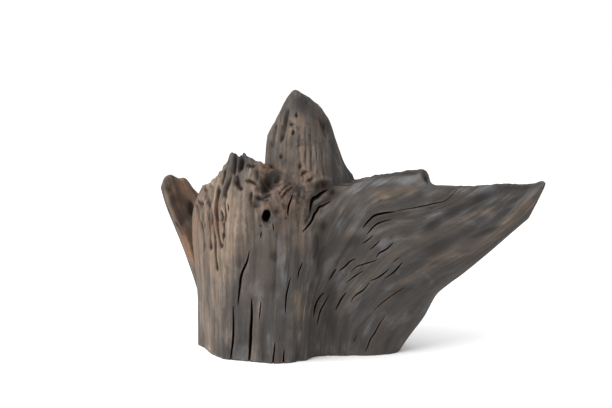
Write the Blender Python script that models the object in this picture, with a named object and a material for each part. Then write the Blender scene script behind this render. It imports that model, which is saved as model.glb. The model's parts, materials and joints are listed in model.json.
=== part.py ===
"""Bog oak piece: one block of weathered bog oak standing on its sawn foot.

A fluted stump wall with two small horns, a peak behind it, a prong at the back
left and a long wing that sweeps up to the right, all grown as one body.
+X is to the right of the front face, -Y is towards the front and +Z is up. The
origin is on the sawn foot, under the middle of the stump.
"""
import math
import random
from dataclasses import dataclass

import bmesh
import bpy
import numpy as np
from mathutils import Vector
from mathutils.bvhtree import BVHTree

MM = 0.001
NODE_NAME = "bog_oak_piece"
SEED = 4127

# Widths of the rounded ends, in steps between the front and the back skin
SEAM_STEPS = 4
RIM_BULGE = 1.0 * MM
CROWN_SHOULDER = 0.8

# Relief that runs along the grain: height, width across and length along
GRAIN_RIBS = 1.1 * MM
GRAIN_RIB_WIDTH = 9.0
GRAIN_RIB_LENGTH = 120.0
BACK_RIB_GAIN = 1.4
FULL_RIB_STOCK = 45 * MM
THIN_RIB_SHARE = 0.2
BROAD_SWELL = 1.6 * MM
BROAD_SWELL_WIDTH = 34.0
BROAD_SWELL_LENGTH = 90.0

KNOT_HOLE_AT = (-32.0, 160.0)
KNOT_HOLE_MOUTH = 6.4 * MM
KNOT_HOLE_FLOOR = 2.4 * MM
KNOT_HOLE_DEPTH = 20.0 * MM
KNOT_HOLE_STRETCH = (0.85, 1.3, 1.0)

# A check narrows to this share of its width at its two ends, and its cutter
# stands this far out of the skin
CHECK_ENDS = 0.25
CHECK_CLEARANCE = 6.0 * MM

WOOD_COLOUR = (0.085, 0.070, 0.058, 1.0)
WOOD_ROUGHNESS = 0.82


@dataclass(frozen=True)
class Strand:
    """One strand of the grain, from foot to rim, in millimetres.

    foot and rim are the thickness of the wood behind the strand at its two
    ends, and reach is the share of the strand's height that the back has.
    """

    name: str
    foot: float
    rim: float
    reach: float
    points: tuple


@dataclass(frozen=True)
class Limb:
    """A body of the piece: its strands and how finely it is laid out."""

    name: str
    strands: tuple
    front_steps: int
    back_steps: int
    rows: int
    taper: float
    dip: float


@dataclass(frozen=True)
class Stroke:
    """A groove, ridge or check on the front, along points (x, z) in millimetres.

    A groove has a positive depth and a ridge a negative one.
    """

    name: str
    depth: float
    width: float
    path: tuple


STUMP = Limb("stump", (
    Strand("wall edge", 24, 22, 0.62, (
        (-111, 11, 0), (-111, 9, 32), (-111, 6, 64), (-113, 3, 93),
        (-115, 0, 122), (-115, -2, 147), (-112, -4, 164), (-105, -6, 179))),
    Strand("wall flute", 62, 50, 0.64, (
        (-103, -4, 0), (-103, -12, 40), (-102, -19, 75), (-103, -24, 110),
        (-104, -26, 138), (-102, -27, 163), (-95, -25, 192))),
    Strand("wall face", 98, 84, 0.62, (
        (-92, -34, 0), (-91, -37, 46), (-91, -40, 85), (-92, -43, 119),
        (-92, -44, 146), (-90, -42, 173), (-82, -34, 206))),
    Strand("low horn", 120, 102, 0.60, (
        (-81, -49, 0), (-81, -51, 49), (-80, -53, 88), (-81, -54, 121),
        (-81, -54, 148), (-77, -50, 177), (-70, -36, 223))),
    Strand("horn notch", 130, 108, 0.63, (
        (-71, -55, 0), (-69, -58, 51), (-68, -60, 90), (-68, -61, 122),
        (-67, -60, 149), (-65, -55, 181), (-62, -38, 220))),
    Strand("high horn", 136, 110, 0.66, (
        (-60, -59, 0), (-57, -62, 52), (-54, -65, 96), (-52, -66, 129),
        (-53, -64, 155), (-54, -56, 186), (-56, -38, 223))),
    Strand("horn slope", 142, 112, 0.72, (
        (-48, -64, 0), (-45, -66, 53), (-42, -69, 97), (-40, -69, 129),
        (-41, -66, 161), (-44, -56, 191), (-47, -40, 219))),
    Strand("knot hole", 148, 110, 0.80, (
        (-35, -68, 0), (-33, -70, 54), (-29, -71, 97), (-27, -71, 130),
        (-28, -68, 161), (-32, -56, 191), (-37, -42, 215))),
    Strand("knot mass", 150, 96, 0.90, (
        (-21, -70, 0), (-19, -71, 54), (-15, -71, 97), (-13, -70, 129),
        (-13, -66, 161), (-16, -56, 186), (-19, -40, 205))),
    Strand("knot side", 148, 86, 0.95, (
        (-8, -67, 0), (-6, -70, 54), (-3, -69, 97), (-1, -66, 129),
        (0, -60, 157), (1, -52, 180), (5, -40, 196))),
    Strand("knot shelf", 142, 74, 0.96, (
        (2, -60, 0), (5, -64, 52), (8, -63, 90), (10, -58, 122),
        (14, -52, 151), (23, -47, 173), (36, -36, 187))),
    Strand("lobe root", 134, 48, 0.98, (
        (12, -52, 0), (14, -57, 45), (18, -54, 80), (23, -48, 114),
        (34, -45, 147), (48, -44, 170), (64, -33, 190))),
    Strand("lobe top", 124, 20, 1.0, (
        (21, -42, 0), (23, -48, 41), (28, -45, 75), (37, -42, 110),
        (52, -44, 143), (71, -48, 169), (98, -34, 197))),
    Strand("lobe corner", 117, 14, 1.0, (
        (31, -38, 0), (33, -43, 36), (40, -41, 71), (53, -40, 105),
        (72, -46, 139), (99, -52, 166), (137, -40, 204))),
    Strand("wing step", 114, 13, 1.0, (
        (42, -37, 0), (45, -41, 36), (54, -41, 71), (70, -42, 106),
        (95, -48, 140), (121, -52, 167), (144, -45, 190))),
    Strand("wing ledge", 112, 12, 1.0, (
        (54, -37, 0), (58, -40, 35), (69, -42, 71), (87, -44, 105),
        (114, -50, 136), (143, -50, 165), (172, -43, 187))),
    Strand("wing upper", 110, 11, 1.0, (
        (66, -37, 0), (71, -39, 35), (85, -42, 70), (105, -46, 103),
        (132, -50, 132), (164, -48, 162), (200, -41, 188))),
    Strand("wing middle", 106, 10, 1.0, (
        (77, -37, 0), (84, -39, 34), (100, -43, 68), (121, -46, 100),
        (149, -48, 129), (184, -44, 159), (231, -37, 190))),
    Strand("wing streak", 98, 9, 1.0, (
        (87, -36, 0), (95, -38, 33), (113, -42, 65), (135, -44, 94),
        (165, -44, 122), (203, -41, 155), (250, -33, 187))),
    Strand("wing tip", 86, 7, 1.0, (
        (96, -36, 0), (106, -37, 30), (124, -39, 60), (146, -39, 87),
        (177, -38, 115), (217, -36, 148), (268, -28, 190))),
    Strand("wing lower", 66, 8, 1.0, (
        (105, -32, 0), (115, -32, 26), (134, -33, 53), (153, -32, 77),
        (185, -30, 107), (224, -29, 142), (263, -27, 175))),
    Strand("wing edge", 36, 8, 1.0, (
        (111, -20, 0), (122, -20, 17), (138, -21, 39), (152, -20, 66),
        (183, -20, 89), (217, -20, 118), (253, -20, 151))),
), front_steps=3, back_steps=2, rows=25, taper=1.25, dip=9.0)

PEAK = Limb("peak", (
    Strand("left edge", 22, 8, 1.0, (
        (-27, -8, 112), (-31, -14, 169), (-34, -10, 201), (-33, -5, 224), (-31, 0, 240))),
    Strand("left flute", 52, 12, 1.0, (
        (-21, -36, 118), (-25, -36, 172), (-27, -28, 206), (-25, -18, 232), (-20, -7, 259))),
    Strand("left face", 70, 14, 1.0, (
        (-14, -46, 120), (-17, -44, 174), (-18, -36, 209), (-16, -25, 240), (-12, -9, 275))),
    Strand("apex", 76, 14, 1.0, (
        (-5, -48, 120), (-7, -46, 174), (-8, -39, 210), (-7, -27, 246), (-3, -9, 287))),
    Strand("shoulder", 78, 15, 1.0, (
        (5, -48, 120), (5, -46, 174), (5, -40, 210), (6, -28, 245), (8, -10, 282))),
    Strand("middle", 76, 15, 1.0, (
        (15, -46, 120), (16, -44, 174), (16, -38, 207), (18, -28, 242), (18, -11, 275))),
    Strand("right face", 72, 15, 1.0, (
        (25, -42, 119), (27, -40, 173), (27, -34, 202), (27, -25, 234), (26, -11, 268))),
    Strand("right flute", 54, 14, 1.0, (
        (36, -36, 118), (38, -34, 170), (38, -28, 197), (37, -20, 224), (35, -10, 254))),
    Strand("right slope", 42, 12, 1.0, (
        (47, -28, 116), (48, -26, 164), (47, -22, 188), (45, -15, 209), (42, -7, 235))),
    Strand("right edge", 30, 10, 1.0, (
        (57, -16, 114), (57, -15, 156), (56, -12, 174), (54, -8, 190), (51, -3, 209))),
    Strand("right foot", 14, 8, 1.0, (
        (68, 4, 110), (66, 2, 149), (65, 2, 163), (63, 2, 175), (62, 2, 192))),
), front_steps=3, back_steps=2, rows=14, taper=1.0, dip=0.0)

PRONG = Limb("prong", (
    Strand("outer edge", 14, 6, 1.0, (
        (-100, 28, 7), (-110, 27, 50), (-119, 30, 80), (-132, 36, 115),
        (-147, 42, 151), (-154, 46, 174))),
    Strand("outer face", 30, 8, 1.0, (
        (-95, 22, 9), (-104, 21, 52), (-113, 24, 83), (-125, 31, 119),
        (-141, 39, 155), (-150, 45, 184))),
    Strand("tip", 36, 9, 1.0, (
        (-90, 22, 9), (-98, 23, 51), (-106, 29, 85), (-118, 38, 121),
        (-133, 45, 156), (-143, 47, 187))),
    Strand("hollow", 36, 8, 1.0, (
        (-83, 24, 8), (-92, 27, 50), (-99, 35, 83), (-110, 45, 119),
        (-124, 51, 154), (-135, 50, 183))),
    Strand("inner face", 34, 8, 1.0, (
        (-76, 28, 7), (-84, 31, 49), (-91, 39, 83), (-101, 48, 118),
        (-114, 52, 151), (-126, 51, 182))),
    Strand("inner edge", 28, 8, 1.0, (
        (-69, 36, 5), (-76, 38, 48), (-83, 45, 80), (-93, 51, 114),
        (-104, 54, 143), (-117, 53, 169))),
    Strand("root edge", 14, 7, 1.0, (
        (-60, 48, 2), (-68, 50, 45), (-76, 54, 76), (-84, 57, 105),
        (-93, 58, 133), (-105, 57, 159))),
), front_steps=3, back_steps=2, rows=12, taper=1.0, dip=0.0)

STUMP_RELIEF = (
    Stroke("edge flute", 3, 3.4, ((-108, 166), (-102, 139), (-98, 119), (-100, 70))),
    Stroke("wall flute", 4.5, 3.6, ((-97, 181), (-94, 154), (-90, 121), (-86, 95))),
    Stroke("low horn flute", 4.5, 3.2, ((-83, 187), (-85, 160), (-82, 131))),
    Stroke("middle flute", 4.5, 3.2, ((-72, 202), (-75, 188), (-82, 166))),
    Stroke("horn flute", 5, 3.4, ((-65, 218), (-68, 202), (-72, 179))),
    Stroke("notch flute", 5, 3, ((-61, 219), (-63, 206), (-66, 190))),
    Stroke("thin flute", 2.5, 2.6, ((-77, 166), (-80, 145), (-80, 121))),
    Stroke("foot flute outer", 2, 4, ((-93, 62), (-95, 5))),
    Stroke("foot flute inner", 1.6, 4, ((-80, 77), (-80, 1))),
    Stroke("valley", 8, 7, ((30, 146), (29, 125), (27, 102))),
    Stroke("root valley", 4, 12, ((27, 81), (32, 42), (39, 2))),
    Stroke("knot hollow", 10, 8, ((-36, 188), (-27, 195), (-16, 204))),
    Stroke("horn pocket", 6, 4, ((-63, 195), (-62, 189))),
    Stroke("hole skirt", 3, 9, ((-32, 162), (-32, 151))),
    Stroke("lobe underside", 3, 9, ((74, 141), (110, 155), (153, 164), (185, 178))),
    Stroke("wing streak hollow", 3, 8, ((108, 133), (149, 148), (199, 169))),
    Stroke("wing low hollow", 2.5, 8, ((146, 106), (187, 129), (228, 157))),
    Stroke("shelf hollow", 4, 5, ((4, 193), (13, 197))),
    Stroke("lobe roll", -5, 14, ((55, 170), (81, 183), (119, 194))),
    Stroke("knot boss", -4, 14, ((-14, 162), (-5, 169), (4, 179))),
    Stroke("knot lip", -3.5, 7, ((27, 160), (22, 170), (30, 178))),
    Stroke("wall swell", -4, 18, ((-53, 145), (-57, 110), (-63, 67))),
    Stroke("wing ridge", -3, 8, ((120, 106), (165, 132), (224, 167))),
    Stroke("centre swell", -5, 20, ((-1, 134), (-3, 97), (-7, 48))),
)

PEAK_RELIEF = (
    Stroke("outer flute", 5, 2.6, ((-17, 267), (-21, 245), (-26, 222))),
    Stroke("inner flute", 5, 2.6, ((-12, 271), (-15, 246), (-18, 219))),
    Stroke("edge flute", 3, 2.4, ((-25, 250), (-28, 226))),
    Stroke("upper pit", 4, 3, ((-8, 256), (-9, 253))),
    Stroke("lower pit", 4.5, 3.2, ((-13, 246), (-8, 241))),
    Stroke("right flute", 2, 3, ((33, 254), (40, 224), (50, 196))),
    Stroke("face flute", 1.8, 3, ((20, 269), (25, 236), (30, 202))),
)

PRONG_RELIEF = (
    Stroke("cup", 5, 9, ((-138, 168), (-120, 120))),
    Stroke("cup rib", -3, 4, ((-128, 150), (-118, 126))),
)

CHECKS = (
    Stroke("long wall check", 13, 3.2, ((-51, 123), (-57, 93), (-63, 61))),
    Stroke("foot split left", 10, 3.6, ((-67, 42), (-70, 19), (-72, -7))),
    Stroke("foot split main", 15, 4.4, ((-49, 70), (-50, 34), (-52, -8))),
    Stroke("short wall check", 7, 2.2, ((-39, 66), (-40, 48))),
    Stroke("centre check", 9, 2.8, ((-6, 97), (-11, 75), (-12, 54))),
    Stroke("foot nick left", 8, 3, ((-23, 20), (-26, -10))),
    Stroke("foot nick right", 8, 3, ((-13, 10), (-14, -10))),
    Stroke("paired check left", 10, 3.6, ((29, 72), (21, 61), (19, 46))),
    Stroke("paired check right", 9, 3.2, ((35, 68), (25, 52), (22, 35))),
    Stroke("fold check", 8, 3, ((4, 109), (-1, 96))),
    Stroke("root check upper", 9, 3.2, ((53, 73), (46, 64), (42, 52))),
    Stroke("root check middle", 7, 2.2, ((76, 83), (68, 75), (60, 63))),
    Stroke("root check long", 6, 1.8, ((120, 80), (101, 66), (84, 51))),
    Stroke("root check low", 6, 2.2, ((94, 50), (84, 30), (76, 8))),
    Stroke("fan check first", 8, 2.6, ((44, 98), (35, 86))),
    Stroke("fan check second", 9, 3, ((61, 109), (52, 102), (44, 93))),
    Stroke("fan check third", 7, 2.2, ((85, 111), (75, 104), (66, 100), (57, 94))),
    Stroke("fan check fourth", 6, 2, ((70, 95), (53, 82))),
    Stroke("fan check fifth", 8, 2.8, ((100, 102), (90, 92), (79, 85))),
    Stroke("fan check sixth", 8, 2.8, ((113, 105), (105, 97), (97, 90))),
    Stroke("fan check seventh", 9, 2.8, ((104, 129), (96, 122), (86, 113))),
    Stroke("fan check eighth", 7, 2.2, ((94, 134), (83, 121))),
    Stroke("fan check ninth", 7, 2.2, ((87, 138), (72, 122))),
    Stroke("lobe check", 12, 4.2, ((71, 144), (77, 152), (86, 159), (105, 162))),
    Stroke("lobe seam", 7, 1.6, ((106, 162), (137, 166), (158, 172), (172, 184))),
    Stroke("under lobe check", 9, 3, ((75, 136), (86, 148), (102, 153))),
    Stroke("eye check", 9, 3.4, ((-4, 180), (-6, 171), (-9, 164))),
    Stroke("knot fold upper", 12, 4.6, ((37, 185), (25, 179), (18, 171), (16, 162))),
    Stroke("knot fold lower", 10, 3.6, ((40, 175), (26, 169), (19, 159), (7, 142))),
)

BACK_CHECKS = (
    Stroke("back foot split", 12, 4, ((-30, 78), (-32, 40), (-31, -8))),
    Stroke("back long check", 11, 3.4, ((20, 120), (14, 80), (12, 48))),
    Stroke("back short check", 8, 2.6, ((-60, 112), (-62, 84))),
    Stroke("back wing check", 8, 2.8, ((92, 128), (74, 100), (62, 70))),
    Stroke("back upper check", 7, 2.4, ((140, 150), (118, 132))),
    Stroke("back root check", 9, 3, ((52, 60), (46, 30), (44, 6))),
)


def spline(knots, samples, closed=False):
    """Read a Catmull-Rom curve through knots at samples counted in knots."""
    knots = np.asarray(knots, dtype=float)
    count = len(knots)
    samples = np.asarray(samples, dtype=float)
    start = np.floor(samples).astype(int)
    if not closed:
        start = np.clip(start, 0, count - 2)
    step = (samples - start)[:, None]
    picked = []
    for shift in (-1, 0, 1, 2):
        index = start + shift
        index = index % count if closed else np.clip(index, 0, count - 1)
        picked.append(knots[index].reshape(len(samples), -1))
    before, here, after, beyond = picked
    flat = 0.5 * (2 * here + (after - before) * step
                  + (2 * before - 5 * here + 4 * after - beyond) * step ** 2
                  + (3 * here - before - 3 * after + beyond) * step ** 3)
    return flat.reshape((len(samples),) + knots.shape[1:])


def even_rows(points, rows, reach=1.0):
    """Points along a strand, spaced evenly by length up to a share of it."""
    fine = spline(points, np.linspace(0, len(points) - 1, 120))
    run = np.concatenate(([0], np.cumsum(np.linalg.norm(np.diff(fine, axis=0), axis=1))))
    wanted = np.linspace(0, run[-1] * reach, rows)
    return np.stack([np.interp(wanted, run, fine[:, axis]) for axis in range(3)], axis=1)


def key_lines(limb):
    """The lines of every strand round a limb, front then back, and its thickness."""
    height = np.linspace(0, 1, limb.rows)
    front = []
    back = []
    stock = []
    for strand in limb.strands:
        points = np.array(strand.points, dtype=float) * MM
        front.append(even_rows(points, limb.rows))
        line = even_rows(points, limb.rows, strand.reach)
        thickness = strand.rim + (strand.foot - strand.rim) * (1 - height) ** limb.taper
        line[:, 1] += thickness * MM
        back.append(line)
        stock.append(thickness * MM)
    return np.array(front + back[::-1]), np.array(stock + stock[::-1])


def ring_samples(limb):
    """Where the columns stand round the limb, counted in key lines."""
    keys = len(limb.strands)
    gaps = [limb.front_steps] * (keys - 1) + [SEAM_STEPS]
    gaps += [limb.back_steps] * (keys - 1) + [SEAM_STEPS]
    samples = []
    for gap, steps in enumerate(gaps):
        samples += [gap + step / steps for step in range(steps)]
    return np.array(samples)


def value_noise(rng, across, along):
    """Smooth noise between -1 and 1 at the given places on a seeded lattice."""
    size = 64
    lattice = np.array([[rng.uniform(-1, 1) for _ in range(size)] for _ in range(size)])
    column = np.floor(across).astype(int)
    row = np.floor(along).astype(int)
    blend_x = across - column
    blend_y = along - row
    blend_x = blend_x * blend_x * (3 - 2 * blend_x)
    blend_y = blend_y * blend_y * (3 - 2 * blend_y)
    near = lattice[column % size, row % size] * (1 - blend_x)
    near += lattice[(column + 1) % size, row % size] * blend_x
    far = lattice[column % size, (row + 1) % size] * (1 - blend_x)
    far += lattice[(column + 1) % size, (row + 1) % size] * blend_x
    return near * (1 - blend_y) + far * blend_y


def grid_normals(grid):
    """Outward unit normals of a ring grid of columns and rows."""
    around = np.roll(grid, -1, axis=0) - np.roll(grid, 1, axis=0)
    upward = np.gradient(grid, axis=1)
    normals = np.cross(around, upward)
    length = np.linalg.norm(normals, axis=2, keepdims=True)
    return normals / np.maximum(length, 1e-12)


def stroke_weight(points, stroke):
    """How strongly a stroke acts at each point, from 0 to 1."""
    best = np.zeros(points.shape[:-1])
    path = np.array(stroke.path, dtype=float) * MM
    flat = points[..., [0, 2]]
    lengths = np.linalg.norm(np.diff(path, axis=0), axis=1)
    total = lengths.sum()
    reach = min(0.5 * total, 1.6 * stroke.width * MM)
    done = 0.0
    for start, end, length in zip(path[:-1], path[1:], lengths):
        along = ((flat - start) @ (end - start)) / length ** 2
        along = np.clip(along, 0, 1)
        nearest = start + along[..., None] * (end - start)
        distance = np.linalg.norm(flat - nearest, axis=-1)
        place = done + along * length
        fade = smooth_step(-0.6 * reach, reach, np.minimum(place, total - place))
        best = np.maximum(best, fade * np.exp(-(distance / (stroke.width * MM)) ** 2))
        done += length
    return best


def add_relief(grid, stock, strokes, rng):
    """Push the skin in and out: hand-set strokes in front, seeded ribs all round."""
    normals = grid_normals(grid)
    facing = np.clip(-normals[..., 1] * 2.5, 0, 1)
    push = np.zeros(grid.shape[:2])
    for stroke in strokes:
        push -= stroke.depth * MM * stroke_weight(grid, stroke) * facing
    widths = np.linalg.norm(grid - np.roll(grid, 1, axis=0), axis=2).mean(axis=1)
    heights = np.linalg.norm(np.diff(grid, axis=1), axis=2)
    around = np.cumsum(widths)[:, None] / MM * np.ones(grid.shape[:2])
    upward = np.concatenate(
        (np.zeros((len(grid), 1)), np.cumsum(heights, axis=1)), axis=1) / MM
    behind = 1.0 + BACK_RIB_GAIN * np.clip(normals[..., 1], 0, 1)
    ribs = GRAIN_RIBS * behind * value_noise(
        rng, around / GRAIN_RIB_WIDTH, upward / GRAIN_RIB_LENGTH)
    ribs += BROAD_SWELL * value_noise(
        rng, around / BROAD_SWELL_WIDTH, upward / BROAD_SWELL_LENGTH)
    push += ribs * np.clip(stock / FULL_RIB_STOCK, THIN_RIB_SHARE, 1)
    moved = grid + normals * push[..., None]
    moved[:, 0, 2] = grid[:, 0, 2]
    return moved


def smooth_step(low, high, value):
    """Ease from 0 at low to 1 at high."""
    share = np.clip((value - low) / (high - low), 0, 1)
    return share * share * (3 - 2 * share)


def crown_rows(limb, ring):
    """Rows of points that close the top, from the front rim to the back rim."""
    keys = len(limb.strands)
    front_count = (keys - 1) * limb.front_steps + 1
    back_start = front_count + SEAM_STEPS - 1
    back_count = (keys - 1) * limb.back_steps + 1
    rim = ring[:, -1]
    front = rim[:front_count]
    back = rim[back_start:back_start + back_count][::-1]
    across = np.linspace(0, 1, front_count)
    matched = np.stack([
        np.interp(across, np.linspace(0, 1, back_count), back[:, axis])
        for axis in range(3)], axis=1)
    rise = ring[:front_count, -1] - ring[:front_count, -2]
    rise /= np.linalg.norm(rise, axis=1, keepdims=True)
    rows = []
    for step in range(1, SEAM_STEPS):
        share = step / SEAM_STEPS
        row = front + (matched - front) * share
        drop = front[:, 2] - matched[:, 2]
        row[:, 2] = matched[:, 2] + drop * (1 - smooth_step(0.0, CROWN_SHOULDER, share))
        open_top = np.clip(drop / (60 * MM), 0, 1)
        row[:, 2] -= limb.dip * MM * open_top * math.sin(math.pi * share)
        row += rise * (RIM_BULGE * math.sin(math.pi * share) * (1 - open_top))[:, None]
        rows.append(row)
    return rows, front_count, back_start, back_count


def limb_mesh(limb, strokes, rng):
    """Build one limb as a closed mesh and return its object."""
    loop, stock = key_lines(limb)
    samples = ring_samples(limb)
    ring = spline(loop, samples, closed=True)
    ring = add_relief(ring, spline(stock, samples, closed=True), strokes, rng)
    rows, front_count, back_start, back_count = crown_rows(limb, ring)

    mesh = bmesh.new()
    columns = len(ring)
    verts = [[mesh.verts.new(point) for point in column] for column in ring]
    for column in range(columns):
        left = verts[column]
        right = verts[(column + 1) % columns]
        for row in range(limb.rows - 1):
            mesh.faces.new((left[row], right[row], right[row + 1], left[row + 1]))
    mesh.faces.new([verts[column][0] for column in reversed(range(columns))])

    rim = [column[-1] for column in verts]
    chains = [rim[:front_count]]
    left_seam = rim[back_start + back_count:][::-1]
    right_seam = rim[front_count:back_start]
    for step, row in enumerate(rows):
        inner = [mesh.verts.new(point) for point in row[1:-1]]
        chains.append([left_seam[step]] + inner + [right_seam[step]])
    for lower, upper in zip(chains[:-1], chains[1:]):
        for index in range(front_count - 1):
            mesh.faces.new((lower[index], lower[index + 1], upper[index + 1], upper[index]))
    last = chains[-1]
    back_rim = rim[back_start:back_start + back_count][::-1]
    place = 0
    for index in range(front_count - 1):
        goal = (index + 1) * (back_count - 1) / (front_count - 1)
        mesh.faces.new((last[index], last[index + 1], back_rim[place]))
        while place + 1 <= goal + 1e-9:
            mesh.faces.new((last[index + 1], back_rim[place + 1], back_rim[place]))
            place += 1
    bmesh.ops.triangulate(mesh, faces=mesh.faces)
    bmesh.ops.recalc_face_normals(mesh, faces=mesh.faces)
    data = bpy.data.meshes.new(limb.name)
    mesh.to_mesh(data)
    mesh.free()
    return bpy.data.objects.new(limb.name, data)


def skin_at(tree, x, z, facing, otherwise):
    """How far back the skin lies at (x, z), seen from the front or the back."""
    hit = tree.ray_cast(Vector((x, facing, z)), Vector((0, -facing, 0)))[0]
    return otherwise if hit is None else hit.y


def blade_mesh(stroke, tree, facing):
    """A wedge that cuts one check: open at the skin, sharp at its bottom.

    facing is -1 for a check in the front and 1 for one in the back.
    """
    path = np.array(stroke.path, dtype=float) * MM
    stations = max(4, 2 * len(path) - 1)
    points = spline(path, np.linspace(0, len(path) - 1, stations))
    mesh = bmesh.new()
    rings = []
    skin = None
    for index, (x, z) in enumerate(points):
        skin = skin_at(tree, x, max(z, MM), facing, skin)
        before = points[max(index - 1, 0)]
        after = points[min(index + 1, stations - 1)]
        run = Vector((after[0] - before[0], after[1] - before[1])).normalized()
        side = Vector((run.y, 0, -run.x))
        share = index / (stations - 1)
        swell = CHECK_ENDS + (1 - CHECK_ENDS) * math.sin(math.pi * share) ** 0.6
        depth = stroke.depth * MM * swell
        half = side * stroke.width * MM * swell * (1 + CHECK_CLEARANCE / depth) / 2
        mouth = Vector((x, skin + facing * CHECK_CLEARANCE, z))
        keel = Vector((x, skin - facing * depth, z))
        rings.append([mesh.verts.new(mouth - half), mesh.verts.new(mouth + half),
                      mesh.verts.new(keel)])
    for first, second in zip(rings[:-1], rings[1:]):
        for corner in range(3):
            following = (corner + 1) % 3
            mesh.faces.new((first[corner], first[following],
                            second[following], second[corner]))
    mesh.faces.new(rings[0][::-1])
    mesh.faces.new(rings[-1])
    bmesh.ops.triangulate(mesh, faces=mesh.faces)
    bmesh.ops.recalc_face_normals(mesh, faces=mesh.faces)
    data = bpy.data.meshes.new(stroke.name)
    mesh.to_mesh(data)
    mesh.free()
    return bpy.data.objects.new(stroke.name, data)


def knot_hole_cutter(tree):
    """A short tapered plug where the knot has rotted out of the wall."""
    x, z = (value * MM for value in KNOT_HOLE_AT)
    skin = skin_at(tree, x, z, -1, 0.0)
    bpy.ops.mesh.primitive_cone_add(
        vertices=9, radius1=KNOT_HOLE_FLOOR, radius2=KNOT_HOLE_MOUTH,
        depth=KNOT_HOLE_DEPTH * 1.5, location=(x, skin + KNOT_HOLE_DEPTH * 0.25, z),
        rotation=(math.radians(90), 0, 0))
    plug = bpy.context.object
    plug.name = "knot_hole"
    plug.scale = KNOT_HOLE_STRETCH
    return plug


def apply_modifiers(body):
    """Turn a body's modifier stack into its plain mesh."""
    graph = bpy.context.evaluated_depsgraph_get()
    data = bpy.data.meshes.new_from_object(body.evaluated_get(graph))
    body.modifiers.clear()
    body.data = data


def boolean(body, operation, collection):
    """Join or cut the body with everything in a collection."""
    modifier = body.modifiers.new(operation.lower(), "BOOLEAN")
    modifier.operation = operation
    modifier.operand_type = "COLLECTION"
    modifier.collection = collection
    modifier.solver = "EXACT"
    apply_modifiers(body)


def new_collection(name):
    """Make a collection in the scene."""
    collection = bpy.data.collections.new(name)
    bpy.context.scene.collection.children.link(collection)
    return collection


def empty_collection(collection):
    """Remove a collection and the objects in it."""
    for item in list(collection.objects):
        bpy.data.objects.remove(item)
    bpy.data.collections.remove(collection)


def wood_material():
    """Dark weathered bog oak."""
    material = bpy.data.materials.new("bog_oak")
    material.use_nodes = True
    shader = material.node_tree.nodes["Principled BSDF"]
    shader.inputs["Base Color"].default_value = WOOD_COLOUR
    shader.inputs["Roughness"].default_value = WOOD_ROUGHNESS
    shader.inputs["Metallic"].default_value = 0.0
    return material


def keep_largest(body):
    """Drop any loose scrap that the cuts leave beside the main body."""
    mesh = bmesh.new()
    mesh.from_mesh(body.data)
    bmesh.ops.remove_doubles(mesh, verts=mesh.verts, dist=0.00002)
    mesh.verts.ensure_lookup_table()
    seen = set()
    islands = []
    for vert in mesh.verts:
        if vert in seen:
            continue
        stack = [vert]
        island = []
        seen.add(vert)
        while stack:
            current = stack.pop()
            island.append(current)
            for edge in current.link_edges:
                other = edge.other_vert(current)
                if other not in seen:
                    seen.add(other)
                    stack.append(other)
        islands.append(island)
    islands.sort(key=len)
    for island in islands[:-1]:
        bmesh.ops.delete(mesh, geom=island, context="VERTS")
    bmesh.ops.triangulate(mesh, faces=mesh.faces)
    mesh.to_mesh(body.data)
    mesh.free()


def build():
    """Model the bog oak piece."""
    for item in list(bpy.data.objects):
        bpy.data.objects.remove(item)
    rng = random.Random(SEED)
    parts = new_collection("bog_oak")
    cutters = new_collection("cutters")
    limbs = new_collection("limbs")

    body = limb_mesh(STUMP, STUMP_RELIEF, rng)
    body.name = NODE_NAME
    parts.objects.link(body)
    limbs.objects.link(limb_mesh(PEAK, PEAK_RELIEF, rng))
    limbs.objects.link(limb_mesh(PRONG, PRONG_RELIEF, rng))
    boolean(body, "UNION", limbs)
    empty_collection(limbs)

    tree = BVHTree.FromObject(body, bpy.context.evaluated_depsgraph_get())
    for stroke in CHECKS:
        cutters.objects.link(blade_mesh(stroke, tree, -1))
    for stroke in BACK_CHECKS:
        cutters.objects.link(blade_mesh(stroke, tree, 1))
    plug = knot_hole_cutter(tree)
    for holder in list(plug.users_collection):
        holder.objects.unlink(plug)
    cutters.objects.link(plug)
    boolean(body, "DIFFERENCE", cutters)
    empty_collection(cutters)
    keep_largest(body)
    body.data.materials.clear()
    body.data.materials.append(wood_material())
    body.data.shade_flat()


build()
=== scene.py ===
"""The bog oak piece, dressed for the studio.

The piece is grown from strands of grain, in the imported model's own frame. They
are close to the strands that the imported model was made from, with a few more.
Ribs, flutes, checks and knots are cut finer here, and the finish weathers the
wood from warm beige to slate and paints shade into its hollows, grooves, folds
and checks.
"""
import json
import logging
import math
import random
from dataclasses import dataclass, field
from enum import Enum

import bmesh
import bpy
import numpy as np
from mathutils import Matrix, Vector
from mathutils.bvhtree import BVHTree
from mathutils.kdtree import KDTree

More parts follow.
